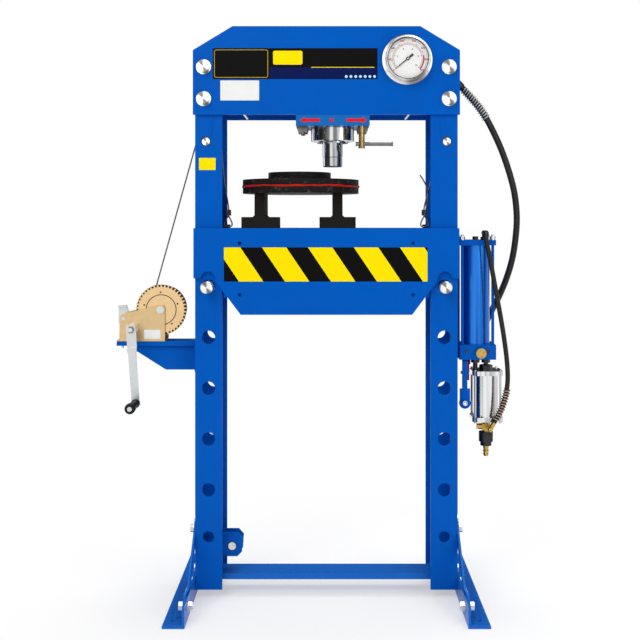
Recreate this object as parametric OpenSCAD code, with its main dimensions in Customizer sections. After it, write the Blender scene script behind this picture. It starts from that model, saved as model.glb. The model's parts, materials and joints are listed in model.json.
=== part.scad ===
// Air-hydraulic shop press: two-column frame, sliding press head, winch-lifted bed and
// an air-driven pump on the right column. Millimetres. X to the right, -Y to the front,
// Z up. The origin is on the floor, midway between the columns.

/* [Columns] */
// Width over the outer faces of the two columns
frame_w = 870; // [800:5:1000]
// Width of one column, across its flanges
col_w = 90; // [80:1:110]
// Depth of one column, front to back
col_d = 180; // [160:5:220]
// Wall of the column channel
col_t = 8; // [6:0.5:10]
// Gap between the floor and the bottom of the columns
col_lift = 28; // [15:1:40]
// Height of the column tops above the floor
col_top = 1812; // [1780:1:1820]

/* [Pin holes] */
// Diameter of the bed pin holes
hole_d = 44; // [43:0.5:50]
// Distance from the outer face of a column to its row of holes
hole_in = 44; // [40:1:50]
// Height of the pin holes that the pins are in
pin_hole_z = 1032.6; // [1020:0.1:1045]
// Distance between bed pin holes
hole_pitch = 168.4; // [150:0.2:175]
// Diameter of the access hole near the bottom of a column
access_d = 37; // [25:1:40]
// Height of the access hole
access_z = 203; // [180:1:230]

/* [Top beam] */
// How far the beam plates reach past each column
beam_over = 6; // [1:0.5:12]
// Height of the beam plates
beam_h = 292; // [280:1:320]
// Height of the beam's lower edge above the floor
beam_z = 1601; // [1590:1:1620]
// Thickness of the beam and bed plates
plate_t = 12; // [8:0.5:16]
// Width of the sloping top corners
beam_slope_w = 131; // [60:1:160]
// Height of the sloping top corners
beam_slope_h = 79; // [40:1:100]
// Thread size of the beam bolts
beam_bolt_d = 24; // [20:1:27]
// Distance from the column's outer face to the beam bolts
beam_bolt_in = 30; // [28:1:40]
// Height of the lower beam bolts above the beam's lower edge
beam_bolt_low = 52; // [45:1:70]
// Height between the lower and upper beam bolts
beam_bolt_pitch = 105; // [80:1:120]
// Distance from the outer face of a column to the head stop bar
stop_in = 160; // [145:1:170]

/* [Press head] */
// Distance of the press head from the middle of the beam
head_x = 21; // [-20:1:60]
// Width of the head's slide block
head_w = 244; // [220:1:260]
// Height of the head's slide block
head_h = 36; // [30:1:45]
// Outer diameter of the hydraulic cylinder
cyl_d = 124; // [110:1:130]
// Height of the cylinder body above the slide block
cyl_h = 190; // [150:5:200]
// Diameter of the ram
ram_d = 68; // [50:1:72]
// Length of ram that stands out below the slide block
ram_out = 132; // [120:1:134]
// Diameter of the gland nut around the ram
gland_d = 146; // [130:1:150]
// Height of the gland nut
gland_h = 52; // [40:1:60]
// Diameter of the clamp screw
clamp_d = 20; // [16:1:22]
// Distance from the head's middle to the clamp screw
clamp_x = 96; // [90:1:102]
// Length of the clamp screw below the slide block
clamp_out = 74; // [60:1:80]
// Length of the clamp bar
clamp_bar_l = 124; // [100:1:140]
// Diameter of the clamp bar
clamp_bar_d = 13; // [8:1:14]

/* [Bed] */
// How far the bed plates reach past each column
bed_over = 4; // [1:0.5:12]
// Height of the bed plates in the middle
bed_h = 286; // [270:1:300]
// Height of the bed's top edge above the floor
bed_z = 1226; // [1222:1:1230]
// Height of the bed plate's ears beside the columns
ear_h = 166; // [160:1:168]
// Distance from the outer face of a column to the end of the bed's lower edge
bed_low_in = 152; // [140:1:170]
// Radius of the notches that sit on the bed pins
notch_r = 23; // [22.5:0.5:25]
// Gap between the bed plates and the column faces
bed_gap = 1; // [0.5:0.5:3]
// Wall of the bed's end spacers
spacer_t = 12; // [8:1:16]

/* [Bed pins] */
// Diameter of the bed pins
pin_d = 42; // [38:0.5:42.5]
// Length of a pin in front of the column's face
pin_out = 52; // [40:1:60]
// Length of a pin behind the column
pin_back = 30; // [20:1:40]

/* [Press plates] */
// Width of the foot of each stand
stand_w = 120; // [100:1:130]
// Height of the foot of each stand
stand_foot_h = 37; // [30:1:45]
// Width of the neck of each stand
stand_neck_w = 33; // [28:1:45]
// Total height of each stand
stand_h = 116; // [110:1:118]
// Length of the stands, front to back
stand_l = 204; // [190:1:215]
// Distance from the middle to the left stand
stand_left_x = -221; // [-230:1:-210]
// Distance from the middle to the right stand
stand_right_x = 37; // [30:1:45]
// Diameter of the two large discs
disc_d = 393; // [370:1:400]
// Thickness of each large disc
disc_t = 18; // [12:1:20]
// Thickness of the red band between the large discs
band_t = 10; // [3:1:12]
// Diameter of the small top disc
top_disc_d = 212; // [180:1:230]
// Thickness of the small top disc
top_disc_t = 25; // [15:1:26]
// How far the top disc lies to the left of the large discs' middle
top_disc_off = 4; // [0:1:8]

/* [Feet] */
// Length of a foot, front to back
foot_l = 700; // [560:10:800]
// Width of each leg of the foot angle
foot_w = 70; // [60:1:80]
// Wall of the foot angle
foot_t = 8; // [6:0.5:10]
// Diameter of the floor bolt holes
floor_hole_d = 18; // [12:1:22]
// Distance from the end of a foot to its floor bolt hole
floor_hole_in = 48; // [35:1:52]
// Distance from the end of a foot to its brace bolt
brace_in = 75; // [70:1:90]
// Width of the braces
brace_w = 40; // [32:1:50]
// Thickness of the braces
brace_t = 6; // [4:0.5:8]
// Height of the brace bolts on the columns
brace_top_z = 222; // [200:1:260]
// Thread size of the foot and brace bolts
foot_bolt_d = 16; // [10:1:18]
// Depth of the crossbar, front to back
crossbar_d = 100; // [80:1:120]
// Height of the crossbar
crossbar_h = 20; // [15:1:30]
// Height of the crossbar's top above the floor
crossbar_z = 69; // [60:1:80]

/* [Ropes and sheaves] */
// Diameter of the wire ropes
rope_d = 5; // [4:0.5:6]
// Height of the top sheaves' axles above the floor
sheave_z = 1513; // [1480:1:1530]
// Distance from the outer face of a column to its top sheave's axle
sheave_in = 36; // [34:1:40]
// Rope radius of the left top sheave, which the winch rope leaves outside the column
left_sheave_r = 42; // [38:1:44]
// Rope radius of the right top sheave
right_sheave_r = 24; // [20:1:25]
// Rope radius of the guide roller in the lower bracket
roller_r = 26; // [20:1:30]
// Diameter of the sheave axles
axle_d = 26; // [20:1:28]
// Width of the sheaves
sheave_w = 12; // [10:0.5:16]

/* [Winch] */
// Teeth of the winch gear
gear_teeth = 42; // [38:1:44]
// Teeth of the winch pinion
pinion_teeth = 13; // [12:1:14]
// Module of the winch gears
gear_module = 3.9; // [3.6:0.05:4]
// Width of the winch gear
gear_w = 8; // [6:0.5:10]
// Distance from the outer face of the left column to the winch drum
winch_out = 121; // [110:1:135]
// Height of the winch drum's axle above the floor
winch_z = 951; // [945:1:965]
// Rope radius of the drum
drum_r = 42; // [36:1:44]
// Height of the winch shelf above the floor
shelf_z = 846; // [840:1:850]
// Length of the crank, axle to grip
crank_l = 242; // [200:1:242]
// Length of the crank's grip
grip_l = 104; // [80:1:110]
// Diameter of the crank's grip
grip_d = 34; // [26:1:36]

/* [Gauge] */
// Outer diameter of the gauge's flange
gauge_d = 165; // [150:1:170]
// Distance from the column's outer face to the gauge's middle
gauge_in = 168; // [155:1:180]
// Height of the gauge's middle above the beam's lower edge
gauge_up = 181; // [160:1:190]

/* [Pump] */
// Width and depth of the pump block
pump_w = 122; // [116:1:130]
// Height of the pump block
pump_h = 49; // [45:1:60]
// Height of the pump block's lower face above the floor
pump_z = 786; // [770:1:800]
// Length of the oil tank
tank_l = 333; // [280:1:345]
// Outer diameter of the oil tank
tank_d = 96; // [80:1:96]
// Thickness of the tank's top cap
cap_h = 18; // [14:1:24]
// Diameter of the tank's tie rods
rod_d = 10; // [8:0.5:12]
// Diameter of the release knob
knob_d = 34; // [28:1:38]
// Outer diameter of the air motor
motor_d = 84; // [70:1:88]
// Length of the air motor between its end plates
motor_l = 140; // [120:1:150]
// Width of the air motor's end plates
motor_w = 102; // [96:1:108]
// Thickness of the air motor's end plates
motor_t = 15; // [10:1:18]

/* [Hoses] */
// Outer diameter of the hydraulic hose
hose_d = 22; // [18:1:24]
// Outer diameter of the air hose
air_hose_d = 16; // [12:1:18]

/* [Hidden] */
$fn = 64;

// Fits and clearances
fit = 0.05;
gap = 0.3;
over = 1;

// Places worked out from the sizes above
side_x = frame_w / 2;
beam_w = frame_w + 2 * beam_over;
bed_w = frame_w + 2 * bed_over;
bed_low_w = frame_w - 2 * bed_low_in;
stop_x = side_x - stop_in;
winch_x = -side_x - winch_out;
face_y = col_d / 2;
hole_x = side_x - hole_in;
beam_y = face_y + plate_t / 2;
bed_y = face_y + bed_gap + plate_t / 2;
beam_bolt_x = side_x - beam_bolt_in;
sheave_x = side_x - sheave_in;
ram_z = beam_z - head_h;
pin_z = pin_hole_z - (hole_d - pin_d) / 2 + gap;
ear_z = bed_z - ear_h;
disc_z = bed_z + stand_h;
disc_x = (stand_left_x + stand_right_x) / 2 + 5;
top_disc_z = disc_z + 2 * disc_t + band_t;
rope_eye_x = side_x - col_w - 12;
clip_z = bed_z + 52;

// The winch: the crank's axle lies to the left of the drum and below it
gear_r = gear_teeth * gear_module / 2;
pinion_r = pinion_teeth * gear_module / 2;
pinion_dir = [-0.8297, -0.5582];
pinion_x = winch_x + (gear_r + pinion_r) * pinion_dir[0];
pinion_z = winch_z + (gear_r + pinion_r) * pinion_dir[1];
winch_side = 3;
winch_left = pinion_x - 50;
winch_bolts_x = [winch_left + 3, winch_x - 12];
winch_front_y = -44;
winch_back_y = 44;
gear_y = -36;
crank_y = -106;
shaft_d = 14;
drum_shaft_d = 16;

// The pump on the outer face of the right column
mount_t = 10;
pump_x = side_x + mount_t + pump_w / 2;
pump_top = pump_z + pump_h;
cap_z = pump_top + tank_l;
motor_x = pump_x + 34;
motor_y = -12;
motor_drop = 39;
motor_z = pump_z - motor_drop - motor_t - motor_l;
port_z = beam_z + 118;
gauge_x = side_x - gauge_in;

// The hoses' middle lines: distance from the column's outer face, depth, and height as a
// share of the way up from the hose's lower end to its upper end
HYDRAULIC_BENDS = [
    [38.5, 0, 1], [64, 0, 0.9651], [95, 0, 0.9164], [125, 0, 0.8518], [159, 0, 0.7616],
    [187, 0, 0.6629], [205, 2, 0.5752], [213, 6, 0.4801], [210, 14, 0.3924], [201, 26, 0.3071],
    [185, 42, 0.2279], [164, 60, 0.1548], [139.5, 77, 0.0877], [124, 84.5, 0.0451],
    [118.8, 87.2, 0.0223], [117, 88, 0]
];
AIR_BENDS = [
    [95, -84, 1], [97, -84, 0.9769], [103, -83, 0.9339], [117, -80, 0.8149], [136, -76, 0.6479],
    [152, -76, 0.4959], [164, -76, 0.3504], [168, -76, 0.2446], [165, -76, 0.1769],
    [158.5, -76, 0.1256], [148.5, -76, 0.0744], [136, -75, 0.0281], [126.25, -74, 0]
];
// A hose's route with a short straight piece at each end, in line with its fitting
function hose_route(bends, low, high, upper_end, lower_end) =
    let (p = [for (b = bends) [side_x + b[0], b[1], low + b[2] * (high - low)]])
    concat([p[0] - upper_end], p, [p[len(p) - 1] + lower_end]);
HYDRAULIC_ROUTE = hose_route(
    HYDRAULIC_BENDS, pump_z + 82, port_z - 30.4, [13.5, 0, -14.4], [0, 0, -6]
);
AIR_ROUTE = hose_route(
    AIR_BENDS, motor_z - motor_t + 8, cap_z + cap_h + 4, [0, 0, -6], [-3.25, 0, -6]
);

// A vector of length one
function unit(v) = v / norm(v);
// Direction of a route at its point i
function heading(p, i) =
    unit(p[min(i + 1, len(p) - 1)] - p[max(i - 1, 0)]);
// Direction across a route at its point i, kept level
function across(p, i) =
    let (h = heading(p, i), side = cross([0, 1, 0], h))
    norm(side) < 0.1 ? [1, 0, 0] : unit(side);

// A round tube swept along a route
module swept(route, d, sides = 10) {
    rings = len(route);
    points = [
        for (i = [0 : rings - 1])
            let (h = heading(route, i), u = across(route, i), v = cross(h, u))
            for (a = [0 : sides - 1])
                route[i] + d / 2 * (u * cos(a * 360 / sides) + v * sin(a * 360 / sides))
    ];
    walls = [
        for (i = [0 : rings - 2], a = [0 : sides - 1])
            let (b = (a + 1) % sides)
            [i * sides + a, (i + 1) * sides + a, (i + 1) * sides + b, i * sides + b]
    ];
    first = [for (a = [0 : sides - 1]) a];
    last = [for (a = [sides - 1 : -1 : 0]) (rings - 1) * sides + a];
    polyhedron(points, concat([first], walls, [last]));
}

// A straight round bar between two points in one upright plane
module bar(from, to, d) {
    run = to - from;
    translate(from)
        rotate([0, acos(run[2] / norm(run)), atan2(run[1], run[0])])
            cylinder(h = norm(run), d = d);
}

// A cylinder along Y, from its front end
module rod_y(x, y, z, d, l, sides = 64) {
    translate([x, y, z]) rotate([-90, 0, 0]) cylinder(h = l, d = d, $fn = sides);
}

// A cylinder along X, from its left end
module rod_x(x, y, z, d, l, sides = 64) {
    translate([x, y, z]) rotate([0, 90, 0]) cylinder(h = l, d = d, $fn = sides);
}

// A flat ring along Y
module ring_y(x, y, z, d, bore, l) {
    difference() {
        rod_y(x, y, z, d, l);
        rod_y(x, y - over, z, bore, l + 2 * over);
    }
}

// A plate drawn in the XZ plane, from its front face at y
module plate_y(y, t) {
    translate([0, y + t, 0]) rotate([90, 0, 0]) linear_extrude(t) children();
}

// A hexagon along Y
module hex_y(x, y, z, af, l) {
    rod_y(x, y, z, af / cos(30), l, 6);
}

// A hexagon along X
module hex_x(x, y, z, af, l) {
    rod_x(x, y, z, af / cos(30), l, 6);
}

// ---- Frame ----

// A column channel on the right, open towards the middle of the press
module column_body() {
    h = col_top - col_lift;
    difference() {
        translate([side_x - col_w, -face_y, col_lift]) cube([col_w, col_d, h]);
        translate([side_x - col_w - over, col_t - face_y, col_lift - over])
            cube([col_w - col_t + over, col_d - 2 * col_t, h + 2 * over]);
        for (k = [-1 : 4])
            rod_y(hole_x, -face_y - over, pin_hole_z - k * hole_pitch, hole_d, col_d + 2 * over);
        rod_y(hole_x, -face_y - over, access_z, access_d, col_d + 2 * over);
        rod_y(sheave_x, -face_y - over, sheave_z, axle_d + 6, col_d + 2 * over);
        for (k = [0, 1])
            rod_y(beam_bolt_x, -face_y - over, beam_z + beam_bolt_low + k * beam_bolt_pitch,
                beam_bolt_d + gap, col_d + 2 * over);
        for (s = [-1, 1]) {
            rod_x(side_x - col_t - over, s * 50, brace_top_z, foot_bolt_d + gap,
                col_t + 2 * over);
            rod_x(side_x - col_t - over, s * (face_y - 24), foot_w * 0.6 + 6,
                foot_bolt_d + gap, col_t + 2 * over);
        }
    }
}

module left_column() {
    color("royalblue")
        difference() {
            mirror([1, 0, 0]) column_body();
            // The slot that the sheave and the winch rope pass through
            translate([-side_x - over, -sheave_w / 2 - 4, sheave_z - left_sheave_r - 12])
                cube([col_t + 2 * over, sheave_w + 8, 2 * left_sheave_r + 24]);
        }
}

module right_column() {
    color("royalblue")
        difference() {
            column_body();
            rod_x(side_x - col_t - over, 0, port_z, 22 + gap, col_t + 2 * over);
        }
}

// Outline of a beam plate
module beam_outline() {
    half = beam_w / 2;
    top = beam_z + beam_h;
    polygon([
        [-half, beam_z], [half, beam_z], [half, top - beam_slope_h],
        [half - beam_slope_w, top], [beam_slope_w - half, top], [-half, top - beam_slope_h]
    ]);
}

module beam_plates() {
    color("royalblue")
        difference() {
            for (y = [-beam_y, beam_y])
                plate_y(y - plate_t / 2, plate_t) beam_outline();
            for (s = [-1, 1], k = [0, 1])
                rod_y(s * beam_bolt_x, -face_y - plate_t - over,
                    beam_z + beam_bolt_low + k * beam_bolt_pitch, beam_bolt_d + gap,
                    col_d + 2 * plate_t + 2 * over);
            rod_y(gauge_x, -face_y - plate_t - over, beam_z + gauge_up, 16, plate_t + 2 * over);
        }
}

// A bolt along Y through two plates, with its head, two washers and its nut
module through_bolt(x, z, d, y) {
    af = d * 1.5;
    rod_y(x, -y - 6, z, d, 2 * y + 12 + d);
    for (end = [-y - 5, y])
        difference() {
            rod_y(x, end, z, af * 1.36, 5);
            rod_y(x, end - over, z, d + gap, 5 + 2 * over);
        }
    translate([0, -5, 0]) hex_y(x, -y - d * 0.62, z, af, d * 0.62);
    difference() {
        hex_y(x, y + 5, z, af, d * 0.8);
        rod_y(x, y + 4, z, d, d);
    }
}

module beam_bolts() {
    color("silver") {
        for (s = [-1, 1], k = [0, 1])
            through_bolt(s * beam_bolt_x, beam_z + beam_bolt_low + k * beam_bolt_pitch,
                beam_bolt_d, face_y + plate_t);
        // Bars between the plates that stop the press head at each end
        for (s = [-1, 1])
            rod_y(s * stop_x, -face_y, beam_z + 6, 10, col_d);
    }
}

// A foot angle on the right, its upright leg against the column's outer face
module foot_body() {
    difference() {
        union() {
            translate([side_x, -foot_l / 2, 0]) cube([foot_w, foot_l, foot_t]);
            translate([side_x, -foot_l / 2, 0]) cube([foot_t, foot_l, foot_w]);
        }
        for (s = [-1, 1]) {
            translate([side_x + foot_w / 2 + foot_t / 2, s * (foot_l / 2 - floor_hole_in), -over])
                cylinder(h = foot_t + 2 * over, d = floor_hole_d);
            rod_x(side_x - over, s * (foot_l / 2 - brace_in), foot_w * 0.6,
                foot_bolt_d + gap, foot_t + 2 * over);
        }
        for (s = [-1, 1])
            rod_x(side_x - over, s * (face_y - 24), foot_w * 0.6 + 6, foot_bolt_d + gap,
                foot_t + 2 * over);
    }
}

module right_foot() { color("royalblue") foot_body(); }

module left_foot() { color("royalblue") mirror([1, 0, 0]) foot_body(); }

// One brace, drawn flat in the YZ plane: a strip between its two bolts
module brace_strip() {
    low = [foot_l / 2 - brace_in, foot_w * 0.6];
    high = [50, brace_top_z];
    run = high - low;
    difference() {
        union() {
            for (p = [low, high]) translate(p) circle(d = brace_w + 6);
            translate(low) rotate(atan2(run[1], run[0])) translate([0, -brace_w / 2])
                square([norm(run), brace_w]);
        }
        for (p = [low, high]) translate(p) circle(d = foot_bolt_d + gap);
    }
}

// One brace on the right, bent above the foot so that its upper end lies on the column
module brace_body() {
    bend_z = foot_w + 1;
    bend_h = 14;
    x = side_x;
    intersection() {
        translate([x - over, 0, 0]) rotate([90, 0, 90])
            linear_extrude(foot_t + brace_t + 2 * over) brace_strip();
        plate_y(0, foot_l) polygon([
            [x, brace_top_z + brace_w], [x, bend_z + bend_h], [x + foot_t, bend_z],
            [x + foot_t, 0], [x + foot_t + brace_t, 0], [x + foot_t + brace_t, bend_z + 2],
            [x + brace_t, bend_z + bend_h + 2], [x + brace_t, brace_top_z + brace_w]
        ]);
    }
}

// Copies of a right-hand piece in all four corners
module four_corners() {
    for (m = [0, 1], n = [0, 1])
        mirror([m, 0, 0]) mirror([0, n, 0]) children();
}

module foot_braces() { color("royalblue") four_corners() brace_body(); }

// A bolt along X: its head outside at x1, its nut inside at x0
module side_bolt(x0, x1, y, z, d) {
    washer_t = 2.5;
    rod_x(x0 - d * 1.1, y, z, d, x1 - x0 + d * 1.1 + 1);
    for (x = [x0 - washer_t, x1]) rod_x(x, y, z, d * 1.9, washer_t);
    hex_x(x1 + washer_t, y, z, d * 1.6, d * 0.7);
    hex_x(x0 - washer_t - d * 0.8, y, z, d * 1.6, d * 0.8);
}

module frame_bolts() {
    bolt_z = foot_w * 0.6;
    color("silver") {
        four_corners() {
            side_bolt(side_x, side_x + foot_t + brace_t, foot_l / 2 - brace_in, bolt_z,
                foot_bolt_d);
            side_bolt(side_x - col_t, side_x + brace_t, 50, brace_top_z, foot_bolt_d);
            side_bolt(side_x - col_t, side_x + foot_t, face_y - 24, bolt_z + 6,
                foot_bolt_d);
        }
        // The two bolts that hold the winch on its shelf
        for (x = winch_bolts_x) {
            translate([x, 0, shelf_z + winch_side]) cylinder(h = 6, d = 13 / cos(30), $fn = 6);
            translate([x, 0, shelf_z - 28]) cylinder(h = 28 + winch_side, d = 8);
            translate([x, 0, shelf_z - 13]) cylinder(h = 7, d = 13 / cos(30), $fn = 6);
        }
    }
}

// The folded crossbar between the columns, with its end plates on the columns' webs
module crossbar() {
    wall = 4;
    span = side_x - col_t;
    color("royalblue") {
        difference() {
            translate([-span, -crossbar_d / 2, crossbar_z - crossbar_h])
                cube([2 * span, crossbar_d, crossbar_h]);
            translate([-span - over, wall - crossbar_d / 2, crossbar_z - crossbar_h - over])
                cube([2 * (span + over), crossbar_d - 2 * wall, crossbar_h - wall + over]);
        }
        for (s = [-1, 1])
            translate([s * (span - wall / 2) - wall / 2, -crossbar_d / 2, crossbar_z])
                cube([wall, crossbar_d, 30]);
    }
}

// ---- Ropes and sheaves ----

guide_x = side_x - col_w - roller_r - 1;
guide_z = access_z - 50;

module sheave_axles() {
    color("gainsboro") {
        for (s = [-1, 1])
            rod_y(s * sheave_x, -face_y - 1, sheave_z, axle_d, col_d + 2);
        rod_y(-guide_x, -26, guide_z, axle_d, 52);
    }
}

module axle_bushes() {
    color("dimgray") {
        for (s = [-1, 1], f = [-1, 1])
            ring_y(s * sheave_x, f > 0 ? face_y - col_t : -face_y, sheave_z, axle_d + 6,
                axle_d, col_t);
        for (y = [-26, 18])
            ring_y(-guide_x, y, guide_z, axle_d + 6, axle_d, 8);
    }
}

// A grooved wheel on an axle along Y
module sheave(x, z, rope_r) {
    rim = rope_r + 3;
    half = sheave_w / 2;
    translate([x, 0, z]) rotate([90, 0, 0])
        rotate_extrude() polygon([
            [axle_d / 2 + fit, -half], [rim, -half], [rim, -half + 1.5],
            [rope_r - rope_d / 2 - gap, -rope_d / 2], [rope_r - rope_d / 2 - gap, rope_d / 2],
            [rim, half - 1.5], [rim, half], [axle_d / 2 + fit, half]
        ]);
}

module left_top_sheave() { color("gray") sheave(-sheave_x, sheave_z, left_sheave_r); }

module right_top_sheave() { color("gray") sheave(sheave_x, sheave_z, right_sheave_r); }

module guide_roller() { color("dimgray") sheave(-guide_x, guide_z, roller_r); }

// Outline of a lower bracket plate, from the column's web to its cut corners
module guide_outline() {
    tip = guide_x - roller_r - 10;
    polygon([
        [-side_x + col_t, guide_z - 34], [-tip - 18, guide_z - 34], [-tip - 3, guide_z - 19],
        [-tip, guide_z + 28], [-tip - 17, guide_z + 46], [-tip - 52, guide_z + 46],
        [-side_x + col_t, guide_z + 46]
    ]);
}

module guide_bracket() {
    color("royalblue")
        difference() {
            for (y = [-26, 18]) plate_y(y, 8) guide_outline();
            rod_y(-guide_x, -27, guide_z, axle_d + 6, 54);
        }
}

// Points on a circle in the XZ plane, from one angle to another
function arc_xz(x, z, r, from, to, steps) =
    [for (i = [0 : steps]) let (a = from + (to - from) * i / steps)
        [x + r * cos(a), 0, z + r * sin(a)]];

// Direction of the winch rope, which touches drum and sheave on their left sides
rope_run = [winch_x + sheave_x, sheave_z - winch_z];
rope_tilt = atan2(rope_run[1], -rope_run[0]);

// From the drum up to the left top sheave and over it
module winch_rope() {
    a = rope_tilt + 90;
    color("slategray")
        swept(concat(
            [[winch_x + drum_r * cos(a), 0, winch_z + drum_r * sin(a)]],
            arc_xz(-sheave_x, sheave_z, left_sheave_r, a, 0, 12)
        ), rope_d, 8);
}

// Over the right top sheave and down inside the right column to the crossbar
module balance_rope() {
    color("slategray")
        swept(concat(
            arc_xz(sheave_x, sheave_z, right_sheave_r, 180, 0, 12),
            [[sheave_x + right_sheave_r, 0, crossbar_z + 30]]
        ), rope_d, 8);
}

// From a top sheave down to the clip, and on to the eye on the bed
module drop_rope(x) {
    color("slategray")
        swept([
            [x, 0, sheave_z - 0.5], [(x + rope_eye_x) / 2 + 6, 0, (sheave_z + clip_z) / 2],
            [rope_eye_x, 0, clip_z + 11], [rope_eye_x, 0, bed_z + 12]
        ], rope_d, 8);
}

module right_drop_rope() { drop_rope(sheave_x - right_sheave_r); }

module left_drop_rope() { mirror([1, 0, 0]) drop_rope(sheave_x - left_sheave_r); }

// A rope clip: its saddle, and the eye below it that is screwed into the bed's spacer
module rope_clips() {
    color("silver")
        for (s = [-1, 1]) {
            difference() {
                translate([s * rope_eye_x - 9, -6, clip_z - 10]) cube([18, 12, 20]);
                translate([s * rope_eye_x, 0, clip_z - 12]) cylinder(h = 24, d = rope_d);
            }
            translate([s * rope_eye_x, 0, bed_z]) cylinder(h = 12, d = 14);
        }
}

// ---- Winch ----

// The shelf: a folded channel with a gusset and a plate on the column's outer face
module winch_bracket() {
    left = winch_left - 10;
    deep = 80;
    color("royalblue") {
        difference() {
            translate([left, -deep / 2, shelf_z - 16]) cube([-side_x - left, deep, 16]);
            translate([left - over, 6 - deep / 2, shelf_z - 16 - over])
                cube([-side_x - left - 8 + over, deep - 12, 10 + over]);
            for (x = winch_bolts_x)
                translate([x, 0, shelf_z - 20]) cylinder(h = 24, d = 8.4);
        }
        plate_y(-24, 8)
            polygon([
                [-side_x - 8, shelf_z - 6], [left + 18, shelf_z - 6],
                [left + 30, shelf_z - 14], [winch_x + 14, shelf_z - 98],
                [-side_x - 8, shelf_z - 98]
            ]);
        translate([-side_x - 8, -deep / 2, shelf_z - 104]) cube([8, deep, 100]);
    }
}

// Outline of a winch side plate
module winch_side_outline() {
    polygon([
        [winch_left, shelf_z], [winch_left + 1, winch_z - 24], [winch_left + 7, winch_z - 15],
        [winch_left + 30, winch_z - 9], [winch_x - 4, winch_z + 16], [winch_x + 8, winch_z + 15],
        [winch_x + 14, winch_z + 7], [winch_x + 14, shelf_z]
    ]);
}

module winch_frame() {
    color("darkkhaki")
        difference() {
            union() {
                for (y = [winch_front_y, winch_back_y - winch_side])
                    plate_y(y, winch_side) winch_side_outline();
                translate([winch_left - 8, winch_front_y, shelf_z])
                    cube([winch_x + 22 - winch_left, winch_back_y - winch_front_y, winch_side]);
            }
            rod_y(winch_x, winch_front_y - over, winch_z, drum_shaft_d + 2 * fit, 2 * winch_back_y + 2);
            rod_y(pinion_x, winch_front_y - over, pinion_z, shaft_d + 2 * fit, 2 * winch_back_y + 2);
            for (x = winch_bolts_x)
                translate([x, 0, shelf_z - over]) cylinder(h = 6, d = 8.4);
        }
    // The rivet that the pawl turns on
    color("silver") {
        rod_y(pawl_x, winch_front_y - 2, pawl_z, 8, 2 * winch_back_y + 9);
        rod_y(pawl_x, winch_front_y - 3, pawl_z, 13, 3);
        rod_y(pawl_x, winch_back_y + 5 + gap, pawl_z, 13, 3);
    }
}

// The drum on its through bolt: two flanges and a barrel
module winch_drum() {
    color("darkkhaki") {
        difference() {
            union() {
                rod_y(winch_x, gear_y + gear_w, winch_z, 2 * (drum_r - gap) - rope_d, 62);
                rod_y(winch_x, gear_y + gear_w, winch_z, 2 * gear_r + 4, 3);
                rod_y(winch_x, winch_back_y - 12, winch_z, 2 * gear_r - 8, 3);
            }
            rod_y(winch_x, gear_y, winch_z, drum_shaft_d, 80);
        }
        rod_y(winch_x, winch_front_y - 8, winch_z, drum_shaft_d, 2 * winch_back_y + 16);
        hex_y(winch_x, winch_front_y - 8, winch_z, 24, 7.5);
        hex_y(winch_x, winch_back_y + 0.5, winch_z, 24, 8);
    }
}

// Outline of a gear: straight-sided teeth on a root circle
module gear_outline(teeth, pitch_r, play) {
    m = gear_module;
    step = 360 / teeth;
    foot = step * 0.30 - play;
    tip = step * 0.13 - play;
    circle(r = pitch_r - 1.25 * m, $fn = 96);
    for (i = [0 : teeth - 1])
        rotate(i * step) polygon([
            [(pitch_r - 1.5 * m) * cos(foot), -(pitch_r - 1.5 * m) * sin(foot)],
            [(pitch_r + m) * cos(tip), -(pitch_r + m) * sin(tip)],
            [(pitch_r + m) * cos(tip), (pitch_r + m) * sin(tip)],
            [(pitch_r - 1.5 * m) * cos(foot), (pitch_r - 1.5 * m) * sin(foot)]
        ]);
}

// The gear is turned so that one of its gaps faces the pinion
mesh_angle = atan2(pinion_dir[1], pinion_dir[0]);

module winch_gear() {
    color("goldenrod")
        translate([winch_x, gear_y + gear_w, winch_z]) rotate([90, 0, 0])
            linear_extrude(gear_w) difference() {
                rotate(mesh_angle + 180 / gear_teeth)
                    gear_outline(gear_teeth, gear_r, 0.15);
                circle(d = drum_shaft_d);
                for (k = [0 : 4])
                    rotate(72 * k + 20) translate([gear_r * 0.72, 0]) circle(d = 6, $fn = 24);
            }
}

module pinion_shaft() {
    color("silver") {
        translate([pinion_x, gear_y + gear_w - gap, pinion_z]) rotate([90, 0, 0])
            linear_extrude(gear_w + 2)
                rotate(mesh_angle + 180) gear_outline(pinion_teeth, pinion_r, 0.5);
        rod_y(pinion_x, crank_y - 10, pinion_z, shaft_d, winch_back_y + 6 - crank_y + 10);
        // Ratchet wheel behind the back side plate
        ring_y(pinion_x, winch_back_y + 1, pinion_z, 30, shaft_d, 5);
        // Friction hub between the side plate and the crank
        ring_y(pinion_x, crank_y + 6, pinion_z, 34, shaft_d, winch_front_y - crank_y - 6 - gap);
    }
}

// The crank's flat arm, stepped towards the front over its upper part
crank_dir = [0.0722, -0.9974];
grip_x = pinion_x + crank_l * crank_dir[0];
grip_z = pinion_z + crank_l * crank_dir[1];

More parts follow.
